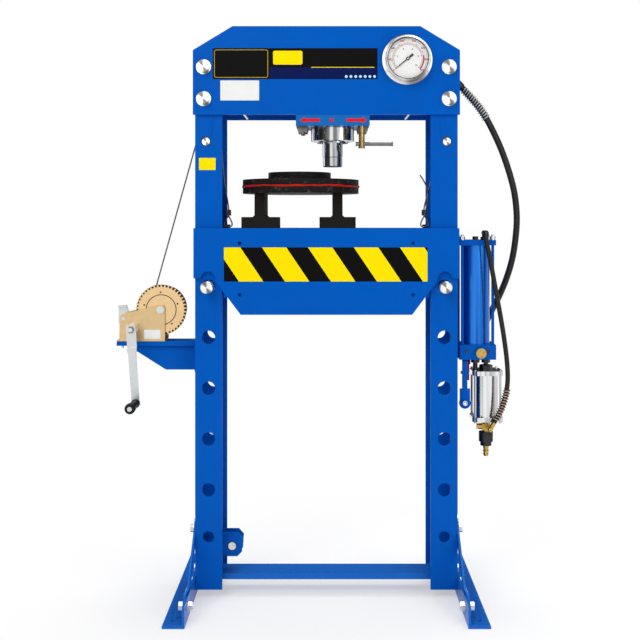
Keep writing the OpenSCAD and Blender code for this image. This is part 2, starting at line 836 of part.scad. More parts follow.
module winch_crank() {
    arm_t = 6;
    arm_step = 8;
    step_at = 60;
    tilt = atan2(crank_dir[0], -crank_dir[1]);
    color("lightgray") {
        plate_y(crank_y, arm_t) translate([pinion_x, pinion_z]) difference() {
            rotate(tilt) polygon([
                [-16, -step_at], [16, -step_at], [16, 12], [12, 16], [-12, 16], [-16, 12]
            ]);
            circle(d = shaft_d);
        }
        plate_y(crank_y - arm_step, arm_t + arm_step) translate([pinion_x, pinion_z])
            rotate(tilt) translate([-16, -step_at - 14]) square([32, 14]);
        plate_y(crank_y - arm_step, arm_t) translate([pinion_x, pinion_z]) rotate(tilt) {
            translate([0, -crank_l]) circle(d = 29);
            translate([-13, -crank_l]) square([26, crank_l - step_at - 14]);
        }
        // The grip's pin, riveted over at its front end
        rod_y(grip_x, crank_y - 10 - grip_l, grip_z, 10, grip_l + 10);
        rod_y(grip_x, crank_y - 12 - gap - grip_l, grip_z, 15, 3);
        difference() {
            hex_y(pinion_x, crank_y - 9, pinion_z, 20, 9);
            rod_y(pinion_x, crank_y - 10, pinion_z, shaft_d, 12);
        }
    }
}

module crank_grip() {
    color("black")
        translate([grip_x, crank_y - 9, grip_z]) rotate([90, 0, 0])
            rotate_extrude() polygon([
                [5 + fit, 0], [grip_d / 2 - 3, 0], [grip_d / 2 - 3, 8],
                [grip_d / 2 - 6, 14], [grip_d / 2 - 4, grip_l * 0.4],
                [grip_d / 2, grip_l * 0.75], [grip_d / 2, grip_l - 4],
                [grip_d / 2 - 3, grip_l], [5 + fit, grip_l]
            ]);
}

// The ratchet's lever on its rivet, behind the back side plate
pawl_x = pinion_x - 36;
pawl_z = winch_z - 29;

module winch_pawl() {
    color("silver") {
        plate_y(winch_back_y + 1, 4) difference() {
            polygon([
                [pawl_x - 34, pawl_z - 26], [pawl_x - 28, pawl_z - 26],
                [pawl_x - 24, pawl_z + 2], [pawl_x - 10, pawl_z - 9],
                [pawl_x + 12, pawl_z - 10], [pawl_x + 10, pawl_z + 10],
                [pawl_x + 2, pawl_z + 18], [pawl_x - 6, pawl_z + 38],
                [pawl_x - 34, pawl_z + 36]
            ]);
            translate([pawl_x, pawl_z]) circle(d = 8 + 2 * fit);
        }
        // The tab that a finger lifts, folded forward
        plate_y(winch_back_y - 12, 17)
            polygon([
                [pawl_x - 34, pawl_z + 32], [pawl_x - 6, pawl_z + 34],
                [pawl_x - 6, pawl_z + 38], [pawl_x - 34, pawl_z + 36]
            ]);
    }
}

// ---- Press head ----

// The slide block under the beam plates, bored for the cylinder
module head_block() {
    deep = 2 * (face_y + plate_t);
    color("dodgerblue")
        difference() {
            translate([head_x - head_w / 2, -deep / 2, ram_z])
                cube([head_w, deep, head_h - gap]);
            translate([head_x, 0, ram_z - over]) cylinder(h = head_h + 2, d = cyl_d);
            translate([head_x + clamp_x, -face_y + 6, ram_z - over])
                cylinder(h = head_h + 2, d = clamp_d + 2 * fit);
        }
}

// The cylinder between the beam plates, closed at the top, with its port on the right
module hydraulic_cylinder() {
    bottom = ram_z;
    color("dodgerblue")
        difference() {
            union() {
                translate([head_x, 0, bottom]) cylinder(h = head_h + cyl_h, d = cyl_d);
                translate([head_x, 0, beam_z + cyl_h]) cylinder(h = 14, d = cyl_d - 24);
                rod_x(head_x, 0, beam_z + cyl_h - 40, 34, cyl_d / 2 + 12);
            }
            translate([head_x, 0, bottom - over])
                cylinder(h = head_h + cyl_h - 20, d = ram_d + 24);
        }
}

// The gland nut that guides the ram at the bottom of the cylinder
module gland_nut() {
    chamfer = 20;
    bore = ram_d / 2 + fit;
    color("silver")
        translate([head_x, 0, ram_z - gland_h]) rotate_extrude()
            polygon([
                [bore, 0], [gland_d / 2 - chamfer, 0], [gland_d / 2 - chamfer, 3],
                [gland_d / 2, 7], [gland_d / 2, gland_h - gap], [bore, gland_h - gap]
            ]);
}

// The ram and its piston, with the groove near its tip
module ram() {
    tip = ram_z - ram_out;
    groove = 32;
    color("silver")
        translate([head_x, 0, tip]) rotate_extrude() polygon([
            [0, 0], [ram_d / 2 - 3, 0], [ram_d / 2 - 1, 2], [ram_d / 2 - 1, groove - 2],
            [ram_d / 2 - 2, groove - 1], [ram_d / 2 - 2, groove + 1], [ram_d / 2, groove + 2],
            [ram_d / 2, ram_out + cyl_h * 0.75], [ram_d / 2 + 11.9, ram_out + cyl_h * 0.75],
            [ram_d / 2 + 11.9, ram_out + cyl_h * 0.75 + 24], [0, ram_out + cyl_h * 0.75 + 24]
        ]);
}

// Clamp feet under the slide block: four tapered pads, each with the head of its bolt
module head_clamps() {
    pad_h = 17;
    pad_l = 24;
    color("silver")
        for (s = [-1, 1], y = [30 - face_y, face_y - 30 - pad_l]) {
            plate_y(y, pad_l) polygon([
                [head_x + s * (head_w / 2 - 2), ram_z], [head_x + s * (head_w / 2 - 6), ram_z - pad_h],
                [head_x + s * (head_w / 2 - 36), ram_z - pad_h], [head_x + s * (head_w / 2 - 40), ram_z]
            ]);
            translate([head_x + s * (head_w / 2 - 21), y + pad_l / 2, ram_z - pad_h - 5])
                cylinder(h = 5, d = 13 / cos(30), $fn = 6);
        }
}

clamp_bar_z = ram_z - clamp_out + 14;

// The screw that clamps the head to the beam
module clamp_screw() {
    x = head_x + clamp_x;
    y = -face_y + 6;
    color("darkkhaki")
        difference() {
            union() {
                translate([x, y, ram_z - clamp_out]) cylinder(h = clamp_out + head_h - 2, d = clamp_d);
                translate([x, y, ram_z - clamp_out]) cylinder(h = 4, d = clamp_d + 3);
            }
            rod_x(x - clamp_d, y, clamp_bar_z, clamp_bar_d + 2 * fit, 2 * clamp_d);
        }
}

// The bar through the screw's head, pushed over to the right
module clamp_bar() {
    x = head_x + clamp_x - 20;
    color("gray") {
        rod_x(x, -face_y + 6, clamp_bar_z, clamp_bar_d, clamp_bar_l);
        rod_x(x, -face_y + 6, clamp_bar_z, clamp_bar_d + 2, 5);
        rod_x(x + clamp_bar_l - 5, -face_y + 6, clamp_bar_z, clamp_bar_d + 2, 5);
    }
}

// ---- Bed ----

// Outline of a bed plate: ears over the columns, with a notch above each pin
module bed_outline() {
    half = bed_w / 2;
    low = bed_z - bed_h;
    difference() {
        polygon([
            [-half, bed_z], [half, bed_z], [half, ear_z],
            [hole_x - notch_r * 0.78, ear_z], [bed_low_w / 2, low], [-bed_low_w / 2, low],
            [notch_r * 0.78 - hole_x, ear_z], [-half, ear_z]
        ]);
        for (s = [-1, 1])
            translate([s * hole_x, ear_z]) circle(r = notch_r);
    }
}

module bed_plates() {
    color("royalblue")
        difference() {
            for (y = [-bed_y, bed_y]) plate_y(y - plate_t / 2, plate_t) bed_outline();
            for (s = [-1, 1], k = [0, 1])
                rod_y(s * (rope_eye_x - 47), -face_y - 20, bed_z - 50 - k * 170, 12,
                    col_d + 40);
        }
}

// The end spacers that tie the plates together, each with an inner plate and a floor
module bed_spacers() {
    inner = 2 * (bed_y - plate_t / 2);
    outer_x = side_x - col_w - 5;
    color("royalblue")
        for (s = [-1, 1])
            mirror([s < 0 ? 1 : 0, 0, 0]) {
                translate([outer_x - spacer_t, -inner / 2, bed_z - 230])
                    cube([spacer_t, inner, 226]);
                translate([outer_x - 60, -inner / 2, bed_z - spacer_t])
                    cube([60, inner, spacer_t]);
                translate([90, -inner / 2, bed_z - bed_h + 6]) cube([spacer_t, inner, bed_h - 12]);
            }
}

// A bed pin: a round bar with a turned groove near its front end
module bed_pin(x) {
    l = pin_out + col_d + pin_back;
    color("silver")
        translate([x, -face_y - pin_out, pin_z]) rotate([-90, 0, 0]) rotate_extrude()
            polygon([
                [0, 0], [pin_d / 2 - 3, 0], [pin_d / 2, 3], [pin_d / 2, 10],
                [pin_d / 2 - 3, 11], [pin_d / 2 - 3, 14], [pin_d / 2, 15],
                [pin_d / 2, l - 2], [pin_d / 2 - 2, l], [0, l]
            ]);
}

module left_bed_pin() { bed_pin(-hole_x); }

module right_bed_pin() { bed_pin(hole_x); }

// ---- Press plates that stand on the bed ----

// Two bars with an upside-down T section, laid across the bed plates
module stands() {
    fillet = 6;
    color("black")
        for (x = [stand_left_x, stand_right_x])
            plate_y(-stand_l / 2, stand_l) translate([x, bed_z]) polygon([
                [-stand_w / 2, 0], [stand_w / 2, 0], [stand_w / 2, stand_foot_h],
                [stand_neck_w / 2 + fillet, stand_foot_h], [stand_neck_w / 2, stand_foot_h + fillet],
                [stand_neck_w / 2, stand_h], [-stand_neck_w / 2, stand_h],
                [-stand_neck_w / 2, stand_foot_h + fillet],
                [-stand_neck_w / 2 - fillet, stand_foot_h], [-stand_w / 2, stand_foot_h]
            ]);
}

module large_discs() {
    color("black")
        for (z = [disc_z, disc_z + disc_t + band_t])
            translate([disc_x, 0, z]) cylinder(h = disc_t, d = disc_d, $fn = 128);
}

module disc_band() {
    color("firebrick")
        translate([disc_x, 0, disc_z + disc_t])
            cylinder(h = band_t, d = disc_d + 2, $fn = 128);
}

module top_disc() {
    color("black")
        translate([disc_x - top_disc_off, 0, top_disc_z])
            cylinder(h = top_disc_t, d = top_disc_d, $fn = 96);
}

// ---- Gauge ----

gauge_z = beam_z + gauge_up;
gauge_front = -face_y - plate_t;
gauge_deep = 38;
gauge_rim = 8;

// The gauge's case with its dial, its bezel and the stem through the beam plate
module gauge_case() {
    face_r = gauge_d / 2 - 14;
    color("silver") {
        translate([gauge_x, gauge_front, gauge_z]) rotate([90, 0, 0]) rotate_extrude(convexity = 4)
            polygon([
                [0, 0], [gauge_d / 2, 0], [gauge_d / 2, 3], [gauge_d / 2 - 8, 4],
                [gauge_d / 2 - 8, gauge_deep - 3], [gauge_d / 2 - 11, gauge_deep],
                [face_r, gauge_deep], [face_r, gauge_deep - 5 - gauge_rim],
                [2.5, gauge_deep - 5 - gauge_rim], [2.5, gauge_deep - 6], [0, gauge_deep - 6]
            ]);
        rod_y(gauge_x, gauge_front - over, gauge_z, 14, plate_t + 20);
        hex_y(gauge_x, -face_y, gauge_z, 24, 16);
        for (a = [90, 210, 330])
            hex_y(gauge_x + (gauge_d / 2 - 4) * cos(a), gauge_front - 6,
                gauge_z + (gauge_d / 2 - 4) * sin(a), 6, 6);
    }
}

module gauge_glass() {
    color("white", 0.3)
        rod_y(gauge_x, gauge_front - gauge_deep + 1, gauge_z, gauge_d - 28 - 2 * fit, 3);
}

// The needle, pointing down to the left, with a round tail
module gauge_needle() {
    y = gauge_front - gauge_deep + gauge_rim;
    color("black")
        translate([gauge_x, y + 2.5, gauge_z]) rotate([90, 0, 0]) linear_extrude(1.5)
            difference() {
                union() {
                    circle(d = 12);
                    rotate(220) polygon([[0, -2.4], [54, -0.6], [54, 0.6], [0, 2.4]]);
                    rotate(40) polygon([[0, -2.4], [16, -4], [16, 4], [0, 2.4]]);
                    rotate(40) translate([18, 0]) circle(d = 9);
                }
                circle(r = 2.5 + fit);
            }
}

// ---- Pump ----

module tank() {
    color("royalblue")
        difference() {
            translate([pump_x, 0, pump_top]) cylinder(h = tank_l, d = tank_d);
            translate([pump_x, 0, pump_top - over]) cylinder(h = tank_l + 2, d = tank_d - 8);
        }
}

rod_in = pump_w / 2 - 10;

module tank_cap() {
    color("royalblue")
        difference() {
            translate([pump_x - pump_w / 2, -pump_w / 2, cap_z]) cube([pump_w, pump_w, cap_h]);
            for (i = [-1, 1], j = [-1, 1])
                translate([pump_x + i * rod_in, j * rod_in, cap_z - over])
                    cylinder(h = cap_h + 2, d = rod_d + gap);
        }
}

// The four tie rods between cap and block, each with a washer and a nut on the cap
module tank_rods() {
    color("royalblue")
        for (i = [-1, 1], j = [-1, 1])
            translate([pump_x + i * rod_in, j * rod_in, 0]) {
                translate([0, 0, pump_top - 12]) cylinder(h = tank_l + cap_h + 30, d = rod_d);
                translate([0, 0, cap_z + cap_h]) cylinder(h = 2.5, d = rod_d * 1.8);
                translate([0, 0, cap_z + cap_h + 2.5])
                    cylinder(h = rod_d, d = rod_d * 1.6 / cos(30), $fn = 6);
            }
}

// The pump block, with the clevis for the valve lever under it
valve_x = pump_x - 28;
valve_y = -15;
valve_z = pump_z - 12;

module pump_block() {
    half = pump_w / 2;
    color("royalblue")
        difference() {
            union() {
                translate([pump_x - half, -half, pump_z]) cube([pump_w, pump_w, pump_h]);
                for (x = [valve_x - 8, valve_x + 5])
                    translate([x, valve_y - 9, pump_z - 20]) cube([3, 18, 20 + over]);
            }
            for (i = [-1, 1], j = [-1, 1])
                translate([pump_x + i * rod_in, j * rod_in, pump_top - 12])
                    cylinder(h = 13, d = rod_d);
            rod_y(pump_x + 8, -half - over, pump_z + 24, 12 + 2 * fit, 26);
            for (x = [-38, 34])
                rod_y(pump_x + x, -half - over, pump_z + 29, 8, 5);
            rod_x(valve_x - 12, valve_y, valve_z, 5, 24);
        }
    color("silver") rod_x(valve_x - 8, valve_y, valve_z, 5, 16);
}

// Flat bars that hold block and cap on the column, and the strap for the hand lever
lever_x = pump_x - 42;
lever_drop = 146;
lever_z = pump_z - lever_drop;
lever_y = -50;

module pump_mounts() {
    plate_w = 80;
    color("royalblue") {
        translate([side_x, -plate_w / 2, pump_z + 4])
            cube([mount_t, plate_w, cap_z + cap_h - pump_z - 4]);
        plate_y(lever_y + 6, 8) difference() {
            union() {
                translate([lever_x - 8, lever_z]) square([16, pump_z - lever_z]);
                translate([lever_x, lever_z]) circle(d = 32);
            }
            translate([lever_x, lever_z]) circle(d = 16 + 2 * fit);
        }
    }
}

// The brass release knob and its spindle
module release_knob() {
    front = -pump_w / 2 - 24;
    color("goldenrod") {
        rod_y(pump_x + 8, front, pump_z + 24, knob_d, 16);
        rod_y(pump_x + 8, front + 15, pump_z + 24, 12, 33);
        rod_y(pump_x + 8, front + 15, pump_z + 24, 20, 9 - gap);
    }
}

// The hand pump's lever, in front of its strap, with the pin that it turns on
module pump_lever() {
    color("royalblue")
        plate_y(lever_y - 3, 8.5) difference() {
            union() {
                translate([lever_x, lever_z]) circle(d = 38);
                translate([lever_x - 17, lever_z]) square([34, 48]);
                translate([lever_x - 8, lever_z + 40]) square([16, pump_z - lever_z - 46]);
                translate([lever_x - 14, lever_z + 98]) square([28, 9]);
            }
            for (x = [-14, 10])
                translate([lever_x + x, lever_z + 50]) square([4, 40]);
        }
    color("silver") {
        rod_y(lever_x, lever_y - 7, lever_z, 16, 30);
        rod_y(lever_x, lever_y - 7, lever_z, 23, 4);
    }
}

// The red lever of the air valve
module valve_lever() {
    color("red")
        difference() {
            union() {
                translate([valve_x - 4.5, valve_y - 7, valve_z - 62]) cube([9, 14, 62]);
                rod_x(valve_x - 4.5, valve_y, valve_z, 14, 9);
            }
            rod_x(valve_x - 6, valve_y, valve_z, 5 + 2 * fit, 12);
        }
}

// The air motor: a bright tube between two square end plates with four tie rods
module air_motor() {
    half = motor_w / 2;
    rods = half - 9;
    color("silver") {
        translate([motor_x, motor_y, motor_z]) cylinder(h = motor_l, d = motor_d);
        for (z = [motor_z - motor_t, motor_z + motor_l])
            translate([motor_x, motor_y, z]) linear_extrude(motor_t)
                polygon([
                    [-half, 14 - half], [14 - half, -half], [half - 14, -half],
                    [half, 14 - half], [half, half - 14], [half - 14, half],
                    [14 - half, half], [-half, half - 14]
                ]);
        for (i = [-1, 1], j = [-1, 1])
            translate([motor_x + i * rods, motor_y + j * rods, motor_z - motor_t - 4])
                cylinder(h = motor_l + 2 * motor_t + 8, d = 8);
    }
}

// ---- Fittings and hoses ----

// Oil fittings: the hose's two ends, and the two adaptors that carry the air motor
module hydraulic_fittings() {
    start = HYDRAULIC_ROUTE[0];
    end = HYDRAULIC_ROUTE[len(HYDRAULIC_ROUTE) - 1];
    half = pump_w / 2;
    color("dimgray") {
        // Through the column's web, with a nut on each side and a bent outlet
        rod_x(side_x - 30, 0, port_z, 22, 42);
        hex_x(side_x, 0, port_z, 32, 10);
        hex_x(side_x - col_t - 10, 0, port_z, 32, 10);
        translate([side_x + 10, 0, port_z]) sphere(d = 24, $fn = 32);
        bar([side_x + 10, 0, port_z], start, hose_d + 4);
        // Into the back of the pump block
        rod_y(end[0], half, pump_z + 25, 18, end[1] - half);
        hex_y(end[0], half, pump_z + 25, 27, 12);
        translate([end[0], end[1], pump_z + 25]) sphere(d = 24, $fn = 32);
        translate([end[0], end[1], pump_z + 25]) cylinder(h = end[2] - pump_z - 25, d = hose_d + 4);
        // Between the pump block and the air motor
        for (x = [pump_x - 2, motor_x]) {
            translate([x, motor_y, pump_z - motor_drop]) cylinder(h = motor_drop, d = 16);
            translate([x, motor_y, pump_z - 15]) cylinder(h = 15, d = 30, $fn = 6);
        }
        translate([motor_x, motor_y, pump_z - motor_drop])
            cylinder(h = 16, d = 46, $fn = 6);
    }
}

air_z = motor_z - motor_t;

// Brass fittings: on the tank's cap, and under the air motor
module air_fittings() {
    start = AIR_ROUTE[0];
    end = AIR_ROUTE[len(AIR_ROUTE) - 1];
    color("goldenrod") {
        translate([start[0], -36, cap_z + cap_h]) cylinder(h = 10, d = 24, $fn = 6);
        translate([start[0], -36, cap_z + cap_h]) cylinder(h = 24, d = 14);
        translate([start[0], -36, start[2] + 14]) sphere(d = 18, $fn = 32);
        rod_y(start[0], start[1], start[2] + 14, 14, -36 - start[1]);
        translate([start[0], start[1], start[2] + 14]) sphere(d = 18, $fn = 32);
        translate(start) cylinder(h = 14, d = air_hose_d + 2);
        // A filler plug in the cap
        translate([pump_x - 4, -30, cap_z + cap_h]) cylinder(h = 12, d = 20, $fn = 6);
        // The tee under the motor
        translate([motor_x, motor_y, air_z - 12]) cylinder(h = 12, d = 22, $fn = 6);
        translate([motor_x - 14, motor_y - 11, air_z - 34]) cube([28, 22, 22]);
        rod_x(motor_x - 32, motor_y, air_z - 22, 20, 20, 6);
        rod_y(motor_x + 5, end[1], air_z - 22, 13, motor_y - end[1]);
        translate([motor_x + 5, end[1], air_z - 22]) sphere(d = 17, $fn = 32);
        bar([motor_x + 5, end[1], air_z - 22], end, air_hose_d);
        translate([motor_x, motor_y, air_z - 40]) cylinder(h = 6, d = 24, $fn = 6);
    }
}

// The quick coupler with its barbed nipple
module air_coupler() {
    top = air_z - 40;
    color("black") {
        translate([motor_x, motor_y, top - 32]) cylinder(h = 32, d = 48);
        translate([motor_x, motor_y, top - 46]) cylinder(h = 15, d = 38);
    }
    color("goldenrod")
        translate([motor_x, motor_y, top - 82]) rotate_extrude() polygon([
            [4, 0], [7, 0], [10, 8], [8, 9], [10.5, 19], [8, 20], [10, 30], [10, 40], [4, 40]
        ]);
}

module hydraulic_hose() { color("black") swept(HYDRAULIC_ROUTE, hose_d, 12); }

module air_hose() { color("black") swept(AIR_ROUTE, air_hose_d, 12); }

left_column();
right_column();
beam_plates();
beam_bolts();
left_foot();
right_foot();
foot_braces();
frame_bolts();
crossbar();
sheave_axles();
axle_bushes();
left_top_sheave();
right_top_sheave();
guide_bracket();
guide_roller();
winch_rope();
balance_rope();
left_drop_rope();
right_drop_rope();
rope_clips();
winch_bracket();
winch_frame();
winch_drum();
winch_gear();
pinion_shaft();
winch_crank();
crank_grip();
winch_pawl();
head_block();
hydraulic_cylinder();
gland_nut();
ram();
head_clamps();
clamp_screw();
clamp_bar();
bed_plates();
bed_spacers();
left_bed_pin();
right_bed_pin();
stands();
large_discs();
disc_band();
top_disc();
gauge_case();
gauge_glass();
gauge_needle();
tank();
tank_cap();
tank_rods();
pump_block();
pump_mounts();
release_knob();
pump_lever();
valve_lever();
air_motor();
hydraulic_fittings();
air_fittings();
air_coupler();
hydraulic_hose();
air_hose();
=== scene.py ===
"""Air-hydraulic shop press: finishes, decals, ropes, hoses and dial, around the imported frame."""

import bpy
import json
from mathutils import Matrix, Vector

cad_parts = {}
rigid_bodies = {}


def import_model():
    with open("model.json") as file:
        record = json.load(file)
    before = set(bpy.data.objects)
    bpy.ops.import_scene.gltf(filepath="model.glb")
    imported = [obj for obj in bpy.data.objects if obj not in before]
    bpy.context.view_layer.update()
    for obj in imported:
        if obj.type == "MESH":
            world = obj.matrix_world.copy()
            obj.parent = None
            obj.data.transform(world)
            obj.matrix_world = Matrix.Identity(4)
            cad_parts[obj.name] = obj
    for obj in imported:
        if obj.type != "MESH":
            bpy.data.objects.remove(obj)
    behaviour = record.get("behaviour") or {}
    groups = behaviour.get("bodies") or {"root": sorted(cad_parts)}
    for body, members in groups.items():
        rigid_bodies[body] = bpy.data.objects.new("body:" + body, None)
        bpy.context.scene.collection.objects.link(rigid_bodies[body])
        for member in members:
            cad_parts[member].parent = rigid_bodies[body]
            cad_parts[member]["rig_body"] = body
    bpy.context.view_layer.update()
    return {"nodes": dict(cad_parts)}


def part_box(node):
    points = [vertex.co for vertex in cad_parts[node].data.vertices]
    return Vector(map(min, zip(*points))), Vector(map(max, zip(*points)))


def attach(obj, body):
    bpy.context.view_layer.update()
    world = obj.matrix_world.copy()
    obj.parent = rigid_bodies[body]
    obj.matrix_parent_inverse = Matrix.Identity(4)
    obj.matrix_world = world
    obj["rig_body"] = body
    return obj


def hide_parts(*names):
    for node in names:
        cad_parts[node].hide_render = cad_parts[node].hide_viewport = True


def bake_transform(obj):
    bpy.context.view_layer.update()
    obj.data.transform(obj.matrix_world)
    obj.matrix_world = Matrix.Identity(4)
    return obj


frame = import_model()

import json
import math
from bisect import bisect_right

import bmesh
import bpy
from bpy.props import (BoolProperty, FloatProperty, FloatVectorProperty, IntProperty,
                       PointerProperty, StringProperty)
from bpy.types import Operator, Panel, PropertyGroup
from mathutils import Matrix, Vector

bl_info = {
    "name": "Shop Press Finish",
    "version": (1, 0, 0),
    "blender": (4, 5, 0),
    "location": "3D View > Sidebar > Shop Press",
    "description": "Paints and dresses an air-hydraulic shop press around its packed frame",
    "category": "Object",
}

NODES = frame["nodes"]
MM = 0.001


def middle(node):
    """The middle of a node's box."""
    low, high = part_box(node)
    return (Vector(low) + Vector(high)) / 2


def front_of(node):
    """How far forward a node reaches, along Y."""
    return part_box(node)[0].y


# Front faces that the decals and the turned trim lie on
BEAM_FACE = front_of("beam_plates")
BED_FACE = front_of("bed_plates")
COLUMN_FACE = front_of("left_column")
HEAD_FACE = front_of("head_block")
NEEDLE_FACE = front_of("gauge_needle")
CASE_FACE = front_of("gauge_case")
GEAR_FACE = front_of("winch_gear")
PUMP_FACE = front_of("pump_block")
# The winch's side plates: bolts and shafts stand out beyond their faces
WINCH_FACE = -44 * MM
PAST_WINCH = 44.1 * MM

# Axes of the turned faces and of the ropes
GAUGE = middle("gauge_glass")
DRUM = middle("winch_gear")
PIN = middle("right_bed_pin")
LEFT_SHEAVE, RIGHT_SHEAVE = middle("left_top_sheave"), middle("right_top_sheave")
# The clips are 18 mm wide, and the outer face of each is the node's outer face
EYE_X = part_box("rope_clips")[1].x - 9 * MM
# The four beam bolts stand in two pairs, one over the other
BOLT_X, BOLT_Z, BOLTS_APART = 0.405, 1.7055, 0.105

# Routes of the two hoses in metres, the same points as the solids follow
HYDRAULIC_ROUTE = [
    (0.46, 0, 1.703), (0.4735, 0, 1.6886), (0.499, 0, 1.66), (0.53, 0, 1.62), (0.56, 0, 1.567),
    (0.594, 0, 1.493), (0.622, 0, 1.412), (0.64, 0.002, 1.34), (0.648, 0.006, 1.262),
    (0.645, 0.014, 1.19), (0.636, 0.026, 1.12), (0.62, 0.042, 1.055), (0.599, 0.06, 0.995),
    (0.5745, 0.077, 0.94), (0.559, 0.0845, 0.905), (0.5538, 0.0872, 0.8863),
    (0.552, 0.088, 0.868), (0.552, 0.088, 0.862),
]
AIR_ROUTE = [
    (0.53, -0.084, 1.196), (0.53, -0.084, 1.19), (0.532, -0.084, 1.176), (0.538, -0.083, 1.15),
    (0.552, -0.08, 1.078), (0.571, -0.076, 0.977), (0.587, -0.076, 0.885),
    (0.599, -0.076, 0.797), (0.603, -0.076, 0.733), (0.6, -0.076, 0.692),
    (0.5935, -0.076, 0.661), (0.5835, -0.076, 0.63), (0.571, -0.075, 0.602),
    (0.56125, -0.074, 0.585), (0.558, -0.074, 0.579),
]


# ---- Settings that a user would change ----

class PressPaints(PropertyGroup):
    """Colours of the paints and prints, as sRGB hex values"""
    blue: StringProperty(name="Blue enamel", default="#0059BC",
                         description="Paint of the frame, the bed and the pump")
    # The feet's blue is paler than the frame's as painted light, for the light that falls on the
    # low parts
    low_blue: StringProperty(name="Feet enamel", default="#1468C6",
                             description="Paint of the feet, the braces and the crossbar")
    head_blue: StringProperty(name="Head enamel", default="#1267B4",
                              description="Paint of the sliding head block")
    black: StringProperty(name="Black enamel", default="#1E1C1B",
                          description="Paint of the stands and the needle")
    cast: StringProperty(name="Cast iron paint", default="#131110",
                         description="Paint of the discs")
    red: StringProperty(name="Red enamel", default="#B8201C",
                        description="Paint between the discs and on the air lever")
    yellow: StringProperty(name="Print yellow", default="#FFE200",
                           description="Yellow of the hazard band and the labels")
    navy: StringProperty(name="Print navy", default="#06164E",
                         description="Lower half of the name panel")
    gold: StringProperty(name="Print gold", default="#B8962E",
                         description="Border of the small black panel")


class PressDecals(PropertyGroup):
    """Sizes of the printed decals"""
    thickness: FloatProperty(name="Vinyl thickness", default=0.3 * MM, unit="LENGTH",
                             description="How far a decal stands off the paint")
    stripe_period: FloatProperty(name="Stripe spacing", default=151.8 * MM, unit="LENGTH",
                                 description="One yellow and one black stripe")
    stripe_lean: FloatProperty(name="Stripe lean", default=76 * MM, unit="LENGTH",
                               description="Sideways run of a stripe over the band")


class PressRopes(PropertyGroup):
    """Wire ropes of the bed winch"""
    diameter: FloatProperty(name="Rope diameter", default=5 * MM, unit="LENGTH",
                            description="Outer diameter of the wire rope")
    lay: FloatProperty(name="Rope lay", default=42 * MM, unit="LENGTH",
                       description="Length over which a strand turns once")
    strands: IntProperty(name="Strands", default=6, min=3, max=8,
                         description="Strands in the rope")


class PressHoses(PropertyGroup):
    """Hoses and their spring guards"""
    oil_diameter: FloatProperty(name="Oil hose", default=22 * MM, unit="LENGTH",
                                description="Outer diameter of the hydraulic hose")
    air_diameter: FloatProperty(name="Air hose", default=16 * MM, unit="LENGTH",
                                description="Outer diameter of the air hose")
    guard_pitch: FloatProperty(name="Guard pitch", default=9.2 * MM, unit="LENGTH",
                               description="Distance between turns of a spring guard")
    guard_wire: FloatProperty(name="Guard wire", default=4.6 * MM, unit="LENGTH",
                              description="Diameter of a spring guard's wire")


class PressGauge(PropertyGroup):
    """The pressure gauge's dial"""
    red_scale: BoolProperty(name="Red scale", default=True,
                            description="Show the outer scale in red")
    start_angle: FloatProperty(name="Zero angle", default=math.radians(220), subtype="ANGLE",
                               description="Angle of the zero mark, from +X")
    sweep: FloatProperty(name="Scale sweep", default=math.radians(260), subtype="ANGLE",
                         description="Angle from zero to full scale")


class PressStage(PropertyGroup):
    """Floor, light and camera"""
    camera_place: FloatVectorProperty(name="Camera place", default=(0.0, -3.540, 1.253),
                                      subtype="TRANSLATION",
                                      description="Where the camera stands")
    lens: FloatProperty(name="Lens", default=58.6, unit="CAMERA",
                        description="Focal length on a 36 mm sensor, in millimetres")
    key_power: FloatProperty(name="Key light", default=86.0, subtype="POWER",
                             description="Power of the large soft lamp")
    sky: FloatProperty(name="Sky light", default=0.44,
                       description="Strength of the even light around")


# ---- Helpers ----

def linear(code, share=1.0):
    """Turns an sRGB hex value into linear red, green, blue and alpha, or a share of that light."""
    parts = [int(code[i:i + 2], 16) / 255 for i in (1, 3, 5)]
    return tuple(share * (c / 12.92 if c <= 0.04045 else ((c + 0.055) / 1.055) ** 2.4)
                 for c in parts) + (1.0,)


def plug(node, **parts):
    """Sets a node's own fields, and fills its inputs with values, sockets or nodes.

    A node stands for its one live output, and i0, i1 and so on for the numbered inputs."""
    for name, part in parts.items():
        if name in node.bl_rna.properties:
            setattr(node, name, part)
            continue
        numbered = name[1:].isdigit()
        socket = node.inputs[int(name[1:]) if numbered else name.replace("_", " ")]
        if isinstance(part, bpy.types.Node):
            part = next(output for output in part.outputs if output.enabled)
        if isinstance(part, bpy.types.NodeSocket):
            node.id_data.links.new(part, socket)
        else:
            socket.default_value = part


def add(tree, kind, **parts):
    """Adds a node with its settings and links."""
    node = tree.nodes.new("ShaderNode" + kind)
    plug(node, **parts)
    return node


# ---- Materials: each takes the tree, its Principled shader and the place in millimetres, so the
# scale of a pattern is one over its real size in millimetres ----

def enamel(tree, shader, place, code, roughness, gloss=0.04):
    """Alkyd enamel, sprayed and baked: an even colour with faint orange peel and dusty patches."""
    cloud = add(tree, "TexNoise", Vector=place, Scale=1 / 140, Detail=3.0)
    peel = add(tree, "TexNoise", Vector=place, Scale=1 / 4.5, Detail=1.0)
    grit = add(tree, "TexNoise", Vector=place, Scale=1 / 1.2, Detail=2.0)
    shade = add(tree, "Mix", data_type="RGBA", Factor=cloud, i6=linear(code), i7=linear(code, 0.86))
    dull = add(tree, "MapRange", Value=cloud, From_Min=0.35, From_Max=0.7,
               To_Min=roughness - 0.06, To_Max=roughness + 0.08)
    skin = add(tree, "Math", operation="ADD", i0=peel, i1=grit)
    bump = add(tree, "Bump", Height=skin, Strength=0.10, Distance=0.0004)
    plug(shader, Base_Color=shade, Roughness=dull, Normal=bump, IOR=1.5, Specular_IOR_Level=gloss)


